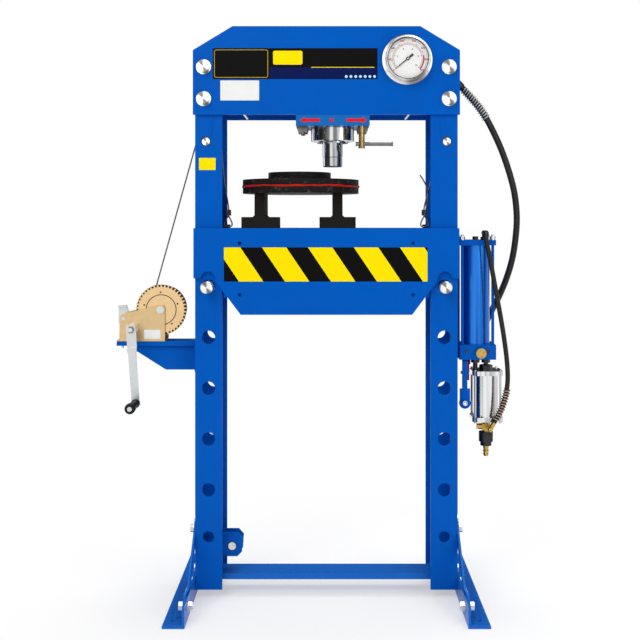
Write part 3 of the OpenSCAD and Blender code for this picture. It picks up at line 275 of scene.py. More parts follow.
def cast_paint(tree, shader, place, code):
    """Sand-cast iron, brushed with black paint: a coarse matt skin with pale rubbed spots."""
    sand = add(tree, "TexNoise", Vector=place, Scale=1 / 5, Detail=5.0, Roughness=0.65)
    rubbed = add(tree, "TexNoise", Vector=place, Scale=1 / 22, Detail=5.0, Roughness=0.7)
    spots = add(tree, "MapRange", Value=rubbed, From_Min=0.55, From_Max=0.75)
    colour = add(tree, "Mix", data_type="RGBA", Factor=spots, i6=linear(code), i7=linear("#57514C"))
    bump = add(tree, "Bump", Height=sand, Strength=0.5, Distance=0.001)
    plug(shader, Base_Color=colour, Normal=bump, Roughness=0.6, Specular_IOR_Level=0.12)


def tumbled_metal(tree, shader, place, light, dark, roughness):
    """Small steel or brass parts, tumbled or barrel plated: a skin that is clouded and grainy."""
    cloud = add(tree, "TexNoise", Vector=place, Scale=1 / 16, Detail=4.0, Roughness=0.6)
    grain = add(tree, "TexNoise", Vector=place, Scale=1 / 0.9, Detail=2.0)
    tone = add(tree, "MapRange", Value=cloud, From_Min=0.2, From_Max=0.8)
    colour = add(tree, "Mix", data_type="RGBA", Factor=tone, i6=linear(light), i7=linear(dark))
    rough = add(tree, "MapRange", Value=cloud, From_Min=0.3, From_Max=0.7,
                To_Min=roughness - 0.07, To_Max=roughness + 0.10)
    bump = add(tree, "Bump", Height=grain, Strength=0.08, Distance=0.0003)
    plug(shader, Base_Color=colour, Roughness=rough, Normal=bump, Metallic=1.0)


def turned_steel(tree, shader, place, centre_x, centre_z, mirrored, apart=0.0, bright="#F6F5F3"):
    """Mild steel, turned on a lathe: fine rings round the axis, and a fan-shaped glint painted into
    its colour.
    """
    axes = add(tree, "SeparateXYZ", Vector=place)

    def fold(value, half):
        """Distance from the nearer of two axes that lie evenly to both sides, and the side."""
        size = add(tree, "Math", operation="ABSOLUTE", i0=value)
        side = add(tree, "Math", operation="SIGN", i0=value)
        off = add(tree, "Math", operation="SUBTRACT", i0=size, i1=half / MM)
        return add(tree, "Math", operation="MULTIPLY", i0=off, i1=side)

    if mirrored:
        off_x = fold(axes.outputs["X"], centre_x)
    else:
        off_x = add(tree, "Math", operation="SUBTRACT", i0=axes.outputs["X"], i1=centre_x / MM)
    off_z = add(tree, "Math", operation="SUBTRACT", i0=axes.outputs["Z"], i1=centre_z / MM)
    if apart:
        off_z = fold(off_z, apart / 2)
    radial = add(tree, "CombineXYZ", X=off_x, Z=off_z)
    radius = add(tree, "VectorMath", operation="LENGTH", Vector=radial)
    # Tool marks are 0.2 mm apart in life, drawn 1.4 mm apart here so that they show
    marks = add(tree, "Math", operation="MULTIPLY", i0=radius, i1=2 * math.pi / 1.4)
    rings = add(tree, "Math", operation="SINE", i0=marks)
    cloud = add(tree, "TexNoise", Vector=place, Scale=1 / 9, Detail=3.0)
    rough = add(tree, "MapRange", Value=cloud, From_Min=0.3, From_Max=0.7, To_Min=0.22, To_Max=0.34)
    # Painted glint: two pairs of brighter and duller sectors, painted into the colour as the
    # fan-shaped highlight of a faced end
    polar = add(tree, "Math", operation="ARCTAN2", i0=off_z, i1=off_x)
    twice = add(tree, "Math", operation="MULTIPLY_ADD", i0=polar, i1=2.0, i2=2.2)
    glint_fan = add(tree, "Math", operation="COSINE", i0=twice)
    painted_glint_sectors = add(tree, "MapRange", interpolation_type="SMOOTHSTEP", Value=glint_fan, From_Min=0.1,
                  From_Max=1.0)
    colour = add(tree, "Mix", data_type="RGBA", Factor=painted_glint_sectors, i6=linear(bright),
                 i7=linear("#7C7B79"))
    bump = add(tree, "Bump", Height=rings, Strength=0.10, Distance=0.0002)
    minus_x = add(tree, "Math", operation="MULTIPLY", i0=off_x, i1=-1.0)
    tangent = add(tree, "CombineXYZ", X=off_z, Z=minus_x)
    plug(shader, Base_Color=colour, Roughness=rough, Normal=bump, Tangent=tangent, Metallic=1.0,
         Anisotropic=0.6)


def ground_chrome(tree, shader, place):
    """Hard chrome, ground round: nearly a mirror with hair-fine rings round the ram."""
    axes = add(tree, "SeparateXYZ", Vector=place)
    # Grinding marks are a few hundredths apart, drawn 0.8 mm apart so that they show
    marks = add(tree, "Math", operation="MULTIPLY", i0=axes.outputs["Z"], i1=2 * math.pi / 0.8)
    rings = add(tree, "Math", operation="SINE", i0=marks)
    smear = add(tree, "TexNoise", Vector=place, Scale=1 / 30, Detail=2.0)
    rough = add(tree, "MapRange", Value=smear, From_Min=0.3, From_Max=0.7, To_Min=0.06, To_Max=0.14)
    bump = add(tree, "Bump", Height=rings, Strength=0.03, Distance=0.0002)
    # Painted reflection: duller and brighter bands along the ram, painted into its colour as the
    # streaks of light and dark that it reflects
    stretch = add(tree, "Mapping", Vector=place, Scale=(1.0, 1.0, 0.03))
    reflection_streaks = add(tree, "TexNoise", Vector=stretch, Scale=1 / 14, Detail=1.0)
    painted_reflection_bands = add(tree, "MapRange", Value=reflection_streaks, From_Min=0.38, From_Max=0.6)
    colour = add(tree, "Mix", data_type="RGBA", Factor=painted_reflection_bands, i6=linear("#E6E7E9"),
                 i7=linear("#7E8084"))
    plug(shader, Base_Color=colour, Roughness=rough, Normal=bump, Metallic=1.0)


def lacquered_tube(tree, shader, place, light, dark):
    """Drawn steel tube under clear blue lacquer: tinted glints that run along the tube, partly
    painted into its colour.
    """
    # Painted highlight: stretched bands between a paler and a darker blue, painted into the colour
    # as the glints that run along the tube
    stretch = add(tree, "Mapping", Vector=place, Scale=(1.0, 1.0, 0.02))
    lines = add(tree, "TexNoise", Vector=stretch, Scale=1 / 18, Detail=2.0)
    painted_reflection_bands = add(tree, "MapRange", Value=lines, From_Min=0.38, From_Max=0.62)
    colour = add(tree, "Mix", data_type="RGBA", Factor=painted_reflection_bands, i6=linear(light), i7=linear(dark))
    peel = add(tree, "TexNoise", Vector=place, Scale=1 / 5, Detail=1.0)
    bump = add(tree, "Bump", Height=peel, Strength=0.06, Distance=0.0003)
    plug(shader, Base_Color=colour, Normal=bump, Metallic=0.8, Roughness=0.24)


def drawn_aluminium(tree, shader, place):
    """Anodised aluminium, drawn tube: satin, with fine lines along its length."""
    stretch = add(tree, "Mapping", Vector=place, Scale=(1.0, 1.0, 0.02))
    lines = add(tree, "TexNoise", Vector=stretch, Scale=1 / 1.1, Detail=3.0)
    # Painted reflection: wide paler and duller bands, painted into the colour as the reflections
    # that tell the tube from a white room
    wide_reflection = add(tree, "TexNoise", Vector=stretch, Scale=1 / 16, Detail=1.0)
    painted_reflection_bands = add(tree, "MapRange", Value=wide_reflection, From_Min=0.4, From_Max=0.62)
    colour = add(tree, "Mix", data_type="RGBA", Factor=painted_reflection_bands, i6=linear("#EEEFF0"),
                 i7=linear("#B4B6B9"))
    rough = add(tree, "MapRange", Value=lines, From_Min=0.3, From_Max=0.7, To_Min=0.10, To_Max=0.20)
    bump = add(tree, "Bump", Height=lines, Strength=0.08, Distance=0.0002)
    plug(shader, Base_Color=colour, Roughness=rough, Normal=bump, Metallic=1.0)


def rubber_cover(tree, shader, place, code, weave_mm):
    """Synthetic rubber, wrapped and cured: matt black with the faint weave of its wrapping."""
    weave = add(tree, "TexWave", wave_type="BANDS", bands_direction="DIAGONAL", Vector=place,
                Scale=1 / weave_mm, Distortion=1.5, Detail=1.0)
    dust = add(tree, "TexNoise", Vector=place, Scale=1 / 25, Detail=4.0)
    colour = add(tree, "Mix", data_type="RGBA", Factor=dust, i6=linear(code), i7=linear("#211F1E"))
    bump = add(tree, "Bump", Height=weave.outputs["Fac"], Strength=0.18, Distance=0.0004)
    plug(shader, Base_Color=colour, Normal=bump, Roughness=0.36, Specular_IOR_Level=0.28, IOR=1.52)


def moulded_plastic(tree, shader, place, code, roughness):
    """Polyethylene, injection moulded: a fine even grain with soft highlights."""
    grain = add(tree, "TexVoronoi", Vector=place, Scale=1 / 0.9)
    scuff = add(tree, "TexNoise", Vector=place, Scale=1 / 12, Detail=4.0)
    colour = add(tree, "Mix", data_type="RGBA", Factor=scuff, i6=linear(code), i7=linear(code, 1.8))
    bump = add(tree, "Bump", Height=grain, Strength=0.12, Distance=0.0003)
    plug(shader, Base_Color=colour, Normal=bump, Roughness=roughness, Specular_IOR_Level=0.2)


def printed_vinyl(tree, shader, place, code):
    """Self-adhesive vinyl, screen printed: flat ink with a slight sheen and tiny ripples."""
    ink = add(tree, "TexNoise", Vector=place, Scale=1 / 30, Detail=3.0)
    ripple = add(tree, "TexNoise", Vector=place, Scale=1 / 8, Detail=1.0)
    colour = add(tree, "Mix", data_type="RGBA", Factor=ink, i6=linear(code), i7=linear(code, 0.92))
    bump = add(tree, "Bump", Height=ripple, Strength=0.05, Distance=0.0003)
    plug(shader, Base_Color=colour, Normal=bump, Roughness=0.42, Specular_IOR_Level=0.05)


def clear_glass(tree, shader, place):
    """Window glass, cut and polished: clear, with only its glints showing."""
    waves = add(tree, "TexNoise", Vector=place, Scale=1 / 40, Detail=1.0)
    bump = add(tree, "Bump", Height=waves, Strength=0.02, Distance=0.0003)
    plug(shader, Normal=bump, Base_Color=linear("#F4F8F8"), Roughness=0.03, IOR=1.45, Alpha=0.04)


def twisted_wire(tree, shader, place):
    """Galvanised steel wire rope, drawn and laid: dull grey wires with darker oil between them."""
    oil = add(tree, "TexNoise", Vector=place, Scale=1 / 6, Detail=4.0)
    # The wires of a strand are 0.3 mm thick, drawn 0.8 mm here so that they show
    wires = add(tree, "TexWave", wave_type="BANDS", bands_direction="DIAGONAL", Vector=place,
                Scale=1 / 0.8, Distortion=0.5)
    colour = add(tree, "Mix", data_type="RGBA", Factor=oil, i6=linear("#8A8986"),
                 i7=linear("#33322F"))
    bump = add(tree, "Bump", Height=wires.outputs["Fac"], Strength=0.2, Distance=0.0002)
    plug(shader, Base_Color=colour, Normal=bump, Metallic=0.8, Roughness=0.45)


def background_paper(tree, shader, place):
    """Background paper, rolled out: white, with the shadows only near the press."""
    grain = add(tree, "TexNoise", Vector=place, Scale=1 / 3, Detail=2.0)
    bump = add(tree, "Bump", Height=grain, Strength=0.02, Distance=0.0002)
    plug(shader, Normal=bump, Base_Color=linear("#FBFBFB"), Roughness=0.9, Specular_IOR_Level=0.1)
    white = add(tree, "Emission", Color=(1, 1, 1, 1), Strength=1.0)
    reach = add(tree, "VectorMath", operation="LENGTH", Vector=place)
    edge = add(tree, "MapRange", interpolation_type="SMOOTHSTEP", Value=reach, From_Min=550.0,
               From_Max=1400.0, To_Min=0.45)
    rays = add(tree, "LightPath")
    direct = add(tree, "Math", operation="MAXIMUM", i0=rays.outputs["Is Camera Ray"],
                 i1=rays.outputs["Is Transmission Ray"])
    seen = add(tree, "Math", operation="MAXIMUM", i0=direct, i1=rays.outputs["Is Glossy Ray"])
    share = add(tree, "Math", operation="MULTIPLY", i0=edge, i1=seen)
    mix = add(tree, "MixShader", Fac=share, i1=shader, i2=white)
    plug(next(n for n in tree.nodes if n.type == "OUTPUT_MATERIAL"), Surface=mix)


# Each finish: how it is made, then its values. A plain word names a paint in the settings.
FINISHES = {
    # Sprayed paints: the frame's is dull and even, and the feet's glossier, and paler as painted
    # light, for the light that falls on the low parts
    "Blue sprayed enamel": (enamel, "blue", 0.34),
    "Feet enamel with painted light": (enamel, "low_blue", 0.30, 0.12),
    "Blue lacquered drawn steel": (lacquered_tube, "#2C86EA", "#0A4FAE"),
    "Dark blue sprayed enamel": (enamel, "#0A3A78", 0.3, 0.3),
    "Head sprayed enamel": (enamel, "head_blue", 0.34, 0.1),
    "Black sprayed enamel": (enamel, "black", 0.46),
    "Black painted cast iron": (cast_paint, "cast"),
    "Red sprayed enamel": (enamel, "red", 0.38),
    # Tumbled and plated parts, from fresh zinc to the drum darkened as painted shade, black oxide,
    # brass and wire
    "Bright zinc-plated steel": (tumbled_metal, "#E6E7E8", "#C6C8CA", 0.30),
    "Dull zinc-plated steel": (tumbled_metal, "#DADDDE", "#CED2D3", 0.34),
    "Yellow zinc-plated steel": (tumbled_metal, "#E0C394", "#D2B484", 0.34),
    "Pale yellow zinc-plated steel": (tumbled_metal, "#F2D2A0", "#E0BC8A", 0.30),
    "Drum zinc darkened as painted shade": (tumbled_metal, "#5C4C34", "#3A3022", 0.42),
    "Black-oxide steel": (tumbled_metal, "#4A4A4C", "#2A2A2C", 0.38),
    "Cold-drawn steel": (tumbled_metal, "#8F8E89", "#5E5D5A", 0.26),
    "Dull turned brass": (tumbled_metal, "#BFA06A", "#77623C", 0.24),
    "Bright turned brass": (tumbled_metal, "#DBBB6E", "#AD8A40", 0.24),
    "Drawn spring steel": (tumbled_metal, "#C2C3C4", "#77787A", 0.24),
    "Drawn bronze wire": (tumbled_metal, "#BFA795", "#8F7A6A", 0.30),
    # Faced ends: the rings and the painted fan of glint run round the pins, the beam's bolts, the
    # axles, the gauge
    "Turned pin steel": (turned_steel, PIN.x, PIN.z, True),
    "Turned bolt steel": (turned_steel, BOLT_X, BOLT_Z, True, BOLTS_APART),
    "Turned axle steel": (turned_steel, RIGHT_SHEAVE.x, RIGHT_SHEAVE.z, True),
    "Turned gauge steel": (turned_steel, GAUGE.x, GAUGE.z, False, 0.0, "#DDDCDA"),
    "Ground hard chrome": (ground_chrome,),
    "Anodised drawn aluminium": (drawn_aluminium,),
    # Rubber, plastic, rope, glass and paper
    "Wrapped hose rubber": (rubber_cover, "#0B0B0B", 3.0),
    "Moulded grip polyethylene": (moulded_plastic, "#0F0F0F", 0.42),
    # Black bushes: their dark ring round each axle end also stands for the shade in the gap round
    # the axle, as painted shade
    "Dark bush polyethylene as painted shade": (moulded_plastic, "#222222", 0.5),
    "Laid galvanised wire rope": (twisted_wire,),
    "Polished gauge glass": (clear_glass,),
    "Rolled background paper": (background_paper,),
    # Prints: thin flat inks on vinyl, and the dial's baked enamels
    "Black printed vinyl": (printed_vinyl, "#0A0A0A"),
    "Navy printed vinyl": (printed_vinyl, "navy"),
    "Yellow printed vinyl": (printed_vinyl, "yellow"),
    "White printed vinyl": (printed_vinyl, "#ECECEA"),
    "Gold screen ink": (printed_vinyl, "gold"),
    "Red screen ink": (printed_vinyl, "#E0201C"),
    "Pale screen ink": (printed_vinyl, "#BFE6FA"),
    "White dial enamel": (enamel, "#F4F4F2", 0.5),
    "Red dial enamel": (enamel, "#C8202C", 0.5),
    "Black dial enamel": (enamel, "#1A1A1C", 0.5),
}
MADE = {}


def finish(name):
    """The named finish, made the first time that it is asked for."""
    if name not in MADE:
        MADE[name] = bpy.data.materials.new(name)
        MADE[name].use_nodes = True
        tree = MADE[name].node_tree
        shader = next(n for n in tree.nodes if n.type == "BSDF_PRINCIPLED")
        metres = add(tree, "TexCoord").outputs["Object"]
        place = add(tree, "VectorMath", operation="SCALE", Vector=metres, Scale=1 / MM)
        maker, *values = FINISHES[name]
        paints = bpy.context.scene.press_paints
        maker(tree, shader, place, *[getattr(paints, str(value), value) for value in values])
    return MADE[name]


# ---- Mesh building ----

def linked(name, data):
    """A new object, linked to the scene."""
    thing = bpy.data.objects.new(name, data)
    bpy.context.scene.collection.objects.link(thing)
    return thing


def add_piece(name, verts, faces, material, body, slot, smooth=False):
    """A new mesh piece that rides on a body."""
    mesh = bpy.data.meshes.new(name)
    mesh.from_pydata([tuple(v) for v in verts], [], faces)
    mesh.validate()
    work = bmesh.new()
    work.from_mesh(mesh)
    bmesh.ops.remove_doubles(work, verts=work.verts, dist=1e-7)
    bmesh.ops.recalc_face_normals(work, faces=work.faces)
    work.to_mesh(mesh)
    work.free()
    mesh.materials.append(finish(material))
    for polygon in mesh.polygons:
        polygon.use_smooth = smooth
    piece = linked(name, mesh)
    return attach(piece, body)


def rectangle(x0, x1, z0, z1):
    """Outline of a rectangle, as (x, z) points."""
    return [(x0, z0), (x1, z0), (x1, z1), (x0, z1)]


def rounded(x0, x1, z0, z1, radius, steps=6):
    """Outline of a rectangle with round corners, as (x, z) points."""
    points = []
    corners = [(x1 - radius, z1 - radius, 0), (x0 + radius, z1 - radius, 90),
               (x0 + radius, z0 + radius, 180), (x1 - radius, z0 + radius, 270)]
    for cx, cz, start in corners:
        for i in range(steps + 1):
            a = math.radians(start + 90 * i / steps)
            points.append((cx + radius * math.cos(a), cz + radius * math.sin(a)))
    return points


def disc(x, z, radius, steps=24):
    """Outline of a round dot, as (x, z) points."""
    turns = [2 * math.pi * i / steps for i in range(steps)]
    return [(x + radius * math.cos(a), z + radius * math.sin(a)) for a in turns]


def skin(rings, sides, closed=False):
    """Faces between rings of points; a closed skin joins its last ring to its first."""
    faces = []
    for i in range(rings if closed else rings - 1):
        j = (i + 1) % rings
        for k in range(sides):
            m = (k + 1) % sides
            faces.append([i * sides + k, i * sides + m, j * sides + m, j * sides + k])
    return faces


def tube(rings, sides):
    """Faces of a tube made of rings of points, with its two ends closed."""
    last = (rings - 1) * sides
    return skin(rings, sides) + [list(range(sides - 1, -1, -1)), list(range(last, last + sides))]


def prism(outlines, front, back):
    """Vertices and faces of flat shapes between two depths along Y."""
    verts, faces = [], []
    for outline in outlines:
        base, count = len(verts), len(outline)
        verts += [(x, front, z) for x, z in outline] + [(x, back, z) for x, z in outline]
        faces.append(list(range(base, base + count)))
        faces.append(list(range(base + 2 * count - 1, base + count - 1, -1)))
        faces += [[base + i, base + count + i, base + count + (i + 1) % count,
                   base + (i + 1) % count] for i in range(count)]
    return verts, faces


def frame_strip(outer, inner, front, back):
    """Vertices and faces of a closed strip between two outlines with as many points."""
    rings = ((outer, front), (inner, front), (inner, back), (outer, back))
    return [(x, y, z) for line, y in rings for x, z in line], skin(4, len(outer), closed=True)


# The record's slot listed for each print
INK_SLOTS = {"Black printed vinyl": "black_paint", "Navy printed vinyl": "blue_paint",
             "Yellow printed vinyl": "yellow_zinc", "White printed vinyl": "aluminium",
             "Gold screen ink": "yellow_zinc", "Red screen ink": "red_paint",
             "Pale screen ink": "aluminium"}


def decal(name, outlines, surface, ink, layer=0, body="frame"):
    """Printed shapes on a front face; a higher layer lies on a lower one."""
    thick = bpy.context.scene.press_decals.thickness
    step = thick / 3
    front = surface - thick - layer * step
    back = surface if layer == 0 else surface - thick - (layer - 1) * step
    return add_piece(name, *prism(outlines, front, back), ink, body, INK_SLOTS[ink])


def smooth_line(points, per_span):
    """A finer line through the points, with no corners."""
    path = [Vector(p) for p in points]
    path = [2 * path[0] - path[1]] + path + [2 * path[-1] - path[-2]]
    line = []
    for i in range(1, len(path) - 2):
        a, b, c, d = path[i - 1:i + 3]
        for s in range(per_span):
            t = s / per_span
            line.append(0.5 * (2 * b + (c - a) * t + (2 * a - 5 * b + 4 * c - d) * t * t
                               + (3 * b - a - 3 * c + d) * t ** 3))
    return line + [path[-2]]


def marks_along(line):
    """How far along a line each of its points lies."""
    marks = [0.0]
    for a, b in zip(line, line[1:]):
        marks.append(marks[-1] + (b - a).length)
    return marks


def line_frames(line):
    """Direction and two directions across, at each point of a line, with no twist."""
    frames, side = [], None
    for i in range(len(line)):
        ahead = (line[min(i + 1, len(line) - 1)] - line[max(i - 1, 0)]).normalized()
        if side is None:
            side = ahead.cross(Vector((0, 1, 0)))
            side = side if side.length > 0.1 else ahead.cross(Vector((1, 0, 0)))
        side = (side - ahead * side.dot(ahead)).normalized()
        frames.append((ahead, side, ahead.cross(side)))
    return frames


def strand_mesh(points):
    """Vertices and faces of a laid wire rope: round strands that turn about the middle."""
    ropes = bpy.context.scene.press_ropes
    # The strands' lobes show only if the line has a point every few millimetres
    line, step = [], 3.5 * MM
    for a, b in zip(points, points[1:]):
        pieces = max(1, round((b - a).length / step))
        line += [a + (b - a) * k / pieces for k in range(pieces)]
    line.append(points[-1])
    sides = ropes.strands * 4
    # Between two strands the rope is this share thinner
    groove = 0.22
    verts = []
    for place, along, (_, side, up) in zip(line, marks_along(line), line_frames(line)):
        turn = 2 * math.pi * along / ropes.lay
        for k in range(sides):
            a = 2 * math.pi * k / sides
            lobe = abs(math.cos(ropes.strands * (a - turn) / 2))
            radius = ropes.diameter / 2 * (1 - groove + groove * lobe)
            verts.append(place + side * (radius * math.cos(a)) + up * (radius * math.sin(a)))
    return verts, tube(len(line), sides)


def coil(name, points, radius, wire, pitch, material, start, end):
    """A spring guard wound round a hose from one share of its length to another."""
    line = smooth_line(points, 12)
    marks, frames = marks_along(line), line_frames(line)
    start, end = start * marks[-1], end * marks[-1]
    per_turn, sides = 20, 8
    steps = round((end - start) / pitch * per_turn)
    verts = []
    for s in range(steps + 1):
        travelled = start + (end - start) * s / steps
        i = min(bisect_right(marks, travelled), len(line) - 1) - 1
        t = (travelled - marks[i]) / (marks[i + 1] - marks[i])
        ahead, side, up = frames[i]
        a = 2 * math.pi * travelled / pitch
        out = side * math.cos(a) + up * math.sin(a)
        place = line[i].lerp(line[i + 1], t) + out * radius
        for k in range(sides):
            b = 2 * math.pi * k / sides
            verts.append(place + out * (wire * math.cos(b)) + ahead * (wire * math.sin(b)))
    return add_piece(name, verts, tube(steps + 1, sides), material, "frame", "dark_steel",
                     smooth=True)


def lathe_y(name, axis, profile, material, body, slot, steps=64):
    """A turned piece about an axis along Y: the profile is (radius, y) points."""
    turns = [2 * math.pi * k / steps for k in range(steps)]
    verts = [(axis[0] + radius * math.cos(a), y, axis[-1] + radius * math.sin(a))
             for radius, y in profile for a in turns]
    return add_piece(name, verts, skin(len(profile), steps), material, body, slot, smooth=True)


# ---- Stage ----

class PRESS_OT_stage(Operator):
    """Floor, soft studio light and camera"""
    bl_idname = "press.stage"
    bl_label = "Stage"

    FLOOR = 14.0
    # Each lamp's place, the point that it looks at, its width, and its share of the key's power
    LAMPS = (("key_light", (-1.9, -3.6, 3.6), (0, 0, 0.9), 2.8, 1.0),
             ("fill_light", (2.6, -3.0, 2.2), (0, 0, 1.0), 2.4, 0.45),
             ("top_light", (0.3, 0.6, 4.2), (0, 0, 1.0), 2.6, 1.15))
    # The level camera stands above the press's middle, so its view is shifted down and a
    # little to the left, by these shares of the view's width
    SHIFT_X, SHIFT_Z = -0.01, -0.15625

    def execute(self, context):
        scene, stage = context.scene, context.scene.press_stage
        mesh = bpy.data.meshes.new("studio_floor")
        corners = rectangle(-self.FLOOR, self.FLOOR, -self.FLOOR, self.FLOOR)
        mesh.from_pydata([(x, y, 0) for x, y in corners], [], [[0, 1, 2, 3]])
        floor = linked("studio_floor", mesh)
        mesh.materials.append(finish("Rolled background paper"))
        self.sky(scene, stage.sky)
        for name, place, aim, width, share in self.LAMPS:
            light = bpy.data.lights.new(name, "AREA")
            light.size = width
            light.energy = stage.key_power * share
            lamp = linked(name, light)
            lamp.location = place
            towards = Vector(aim) - Vector(place)
            lamp.rotation_euler = towards.to_track_quat("-Z", "Y").to_euler()
        camera = bpy.data.cameras.new("press_camera")
        camera.lens = stage.lens
        camera.sensor_width = 36.0
        camera.shift_x, camera.shift_y = self.SHIFT_X, self.SHIFT_Z
        camera.clip_end = 60.0
        eye = linked("press_camera", camera)
        eye.location = stage.camera_place
        eye.rotation_euler = (math.radians(90), 0, 0)
        scene.camera = eye
        scene.view_settings.view_transform = "Standard"
        return {"FINISHED"}

    def sky(self, scene, strength):
        """An even pale light, with soft dark screens between its panels for polished metal."""
        world = bpy.data.worlds.new("studio_sky")
        world.use_nodes = True
        scene.world = world
        tree = world.node_tree
        rays = add(tree, "LightPath")
        seen = add(tree, "Math", operation="MAXIMUM", i0=rays.outputs["Is Camera Ray"],
                   i1=rays.outputs["Is Transmission Ray"])
        axes = add(tree, "SeparateXYZ", Vector=add(tree, "TexCoord").outputs["Generated"])
        behind = add(tree, "Math", operation="MULTIPLY", i0=axes.outputs["Y"], i1=-1.0)
        around = add(tree, "Math", operation="ARCTAN2", i0=axes.outputs["X"], i1=behind)
        # Three panels round the press, and a dark screen between each two
        turns = add(tree, "Math", operation="MULTIPLY", i0=around, i1=3.0)
        wave = add(tree, "Math", operation="COSINE", i0=turns)
        panels = add(tree, "MapRange", interpolation_type="SMOOTHSTEP", Value=wave,
                     From_Min=-0.45, From_Max=0.5, To_Min=0.06, To_Max=1.0)
        plain = add(tree, "MapRange", Value=rays.outputs["Is Glossy Ray"], To_Min=strength,
                    To_Max=panels)
        level = add(tree, "MapRange", Value=seen, To_Min=plain, To_Max=1.0)
        back = next(n for n in tree.nodes if n.type == "BACKGROUND")
        plug(back, Color=(1, 1, 1, 1), Strength=level)


# ---- Hoses ----

class PRESS_OT_hoses(Operator):
    """The hydraulic hose, the air hose and their spring guards"""
    bl_idname = "press.hoses"
    bl_label = "Hoses"

    # Where each guard starts and ends, as shares of its hose's length
    OIL_GUARD, AIR_GUARD = (0.012, 0.15), (0.81, 0.985)

    def execute(self, context):
        hoses = context.scene.press_hoses
        wire, pitch = hoses.guard_wire / 2, hoses.guard_pitch
        oil_guard = coil("oil_hose_guard", HYDRAULIC_ROUTE, hoses.oil_diameter / 2 + wire, wire,
                         pitch, "Drawn spring steel", *self.OIL_GUARD)
        air_guard = coil("air_hose_guard", AIR_ROUTE, hoses.air_diameter / 2 + wire, wire,
                         pitch, "Drawn bronze wire", *self.AIR_GUARD)
        self.hose("oil_hose", HYDRAULIC_ROUTE, hoses.oil_diameter, "hydraulic_hose", oil_guard)
        self.hose("air_supply_hose", AIR_ROUTE, hoses.air_diameter, "air_hose", air_guard)
        return {"FINISHED"}

    def hose(self, name, route, diameter, node, guard):
        """A round hose along its route, as a free cord."""
        line = smooth_line(route, 4)
        curve = bpy.data.curves.new(name, "CURVE")
        curve.dimensions = "3D"
        curve.bevel_depth = diameter / 2
        curve.bevel_resolution = 6
        curve.use_fill_caps = True
        spline = curve.splines.new("POLY")
        spline.points.add(len(line) - 1)
        for point, place in zip(spline.points, line):
            point.co = (*place, 1.0)
        curve.materials.append(finish("Wrapped hose rubber"))
        piece = linked(name, curve)
        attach(piece, "frame")
        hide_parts(node)


# ---- Ropes ----

class PRESS_OT_ropes(Operator):
    """The laid wire ropes between the winch, the sheaves and the bed"""
    bl_idname = "press.ropes"
    bl_label = "Wire ropes"

    # How far a rope's middle runs from the axis of its sheave
    WINCH_WRAP, BALANCE_WRAP = 42 * MM, 24 * MM
    BALANCE_DROP = 1.414
    # A drop rope's heights: at its sheave, halfway, and at the two ends of its clip
    SHEAVE_Z, HALFWAY_Z, CLIP_TOP, CLIP_FOOT = 1.5125, 1.3955, 1.300, 1.270
    # The loop under the clip: offset outward from the eye, depth and height
    LOOP = ((0.007, -0.002, 1.256), (0.0125, -0.004, 1.243), (0.0115, -0.007, 1.233),
            (0.0, -0.0105, 1.2295), (-0.0115, -0.007, 1.233), (-0.0125, -0.005, 1.243),
            (-0.007, -0.005, 1.256), (0.0, -0.005, 1.270))
    # How far outward its halfway point bows, and how far forward its tail lies
    BOW, TAIL_Y = 0.003, -0.005
    # Each drop rope: where it leaves its sheave, and its tail's offsets from the eye and heights
    DROPS = (("left_drop_rope", -0.357, ((-0.004, 1.290), (-0.005, 1.301))),
             ("right_drop_rope", 0.375, ((0.005, 1.290), (0.009, 1.310), (0.011, 1.338),
                                         (0.0075, 1.3634), (-0.003, 1.3862), (-0.0155, 1.4059))))

    def execute(self, context):
        drum, left, right = (Vector((p.x, 0, p.z)) for p in (DRUM, LEFT_SHEAVE, RIGHT_SHEAVE))
        run = left - drum
        lean = math.atan2(run.z, run.x) + math.pi / 2
        winch = [drum + self.turned(self.WINCH_WRAP, lean)]
        winch += self.arc(left, self.WINCH_WRAP, lean)
        balance = self.arc(right, self.BALANCE_WRAP, math.pi)
        balance.append(right + Vector((self.BALANCE_WRAP, 0, -self.BALANCE_DROP)))
        self.rope("winch_rope", winch, "frame")
        self.rope("balance_rope", balance, "frame")
        for node, start_x, tail in self.DROPS:
            self.drop(node, start_x, tail)
        return {"FINISHED"}

    def turned(self, radius, angle):
        """A point on a circle in the upright plane of the sheaves."""
        return Vector((radius * math.cos(angle), 0, radius * math.sin(angle)))

    def arc(self, centre, radius, start, steps=16):
        """Points round a sheave, from an angle down to the level."""
        return [centre + self.turned(radius, start - start * i / steps) for i in range(steps + 1)]

    def rope(self, node, line, body):
        """A laid rope that stands for the plain one."""
        piece = add_piece(node + "_laid", *strand_mesh(line), "Laid galvanised wire rope", body,
                          "rope_steel", smooth=True)
        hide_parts(node)
        return piece

    def drop(self, node, start_x, tail):
        """A rope between the frame and the bed, which in life shortens as the bed goes up; here it
        is a fixed mesh on no body.

        It runs from its sheave to the clip, round the eye on the bed, back up through the
        clip, and ends in a tail."""
        side = 1 if start_x > 0 else -1
        eye = side * EYE_X
        halfway = (start_x + eye) / 2 + self.BOW * side
        line = [(start_x, 0, self.SHEAVE_Z), (halfway, 0, self.HALFWAY_Z), (eye, 0, self.CLIP_TOP),
                (eye, 0, self.CLIP_FOOT)]
        line += [(eye + out * side, y, z) for out, y, z in self.LOOP]
        line += [(eye + along, self.TAIL_Y, z) for along, z in tail]
        piece = self.rope(node, smooth_line(line, 6), "bed")
        piece.parent = None
        del piece["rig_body"]
        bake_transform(piece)


# ---- Decals ----

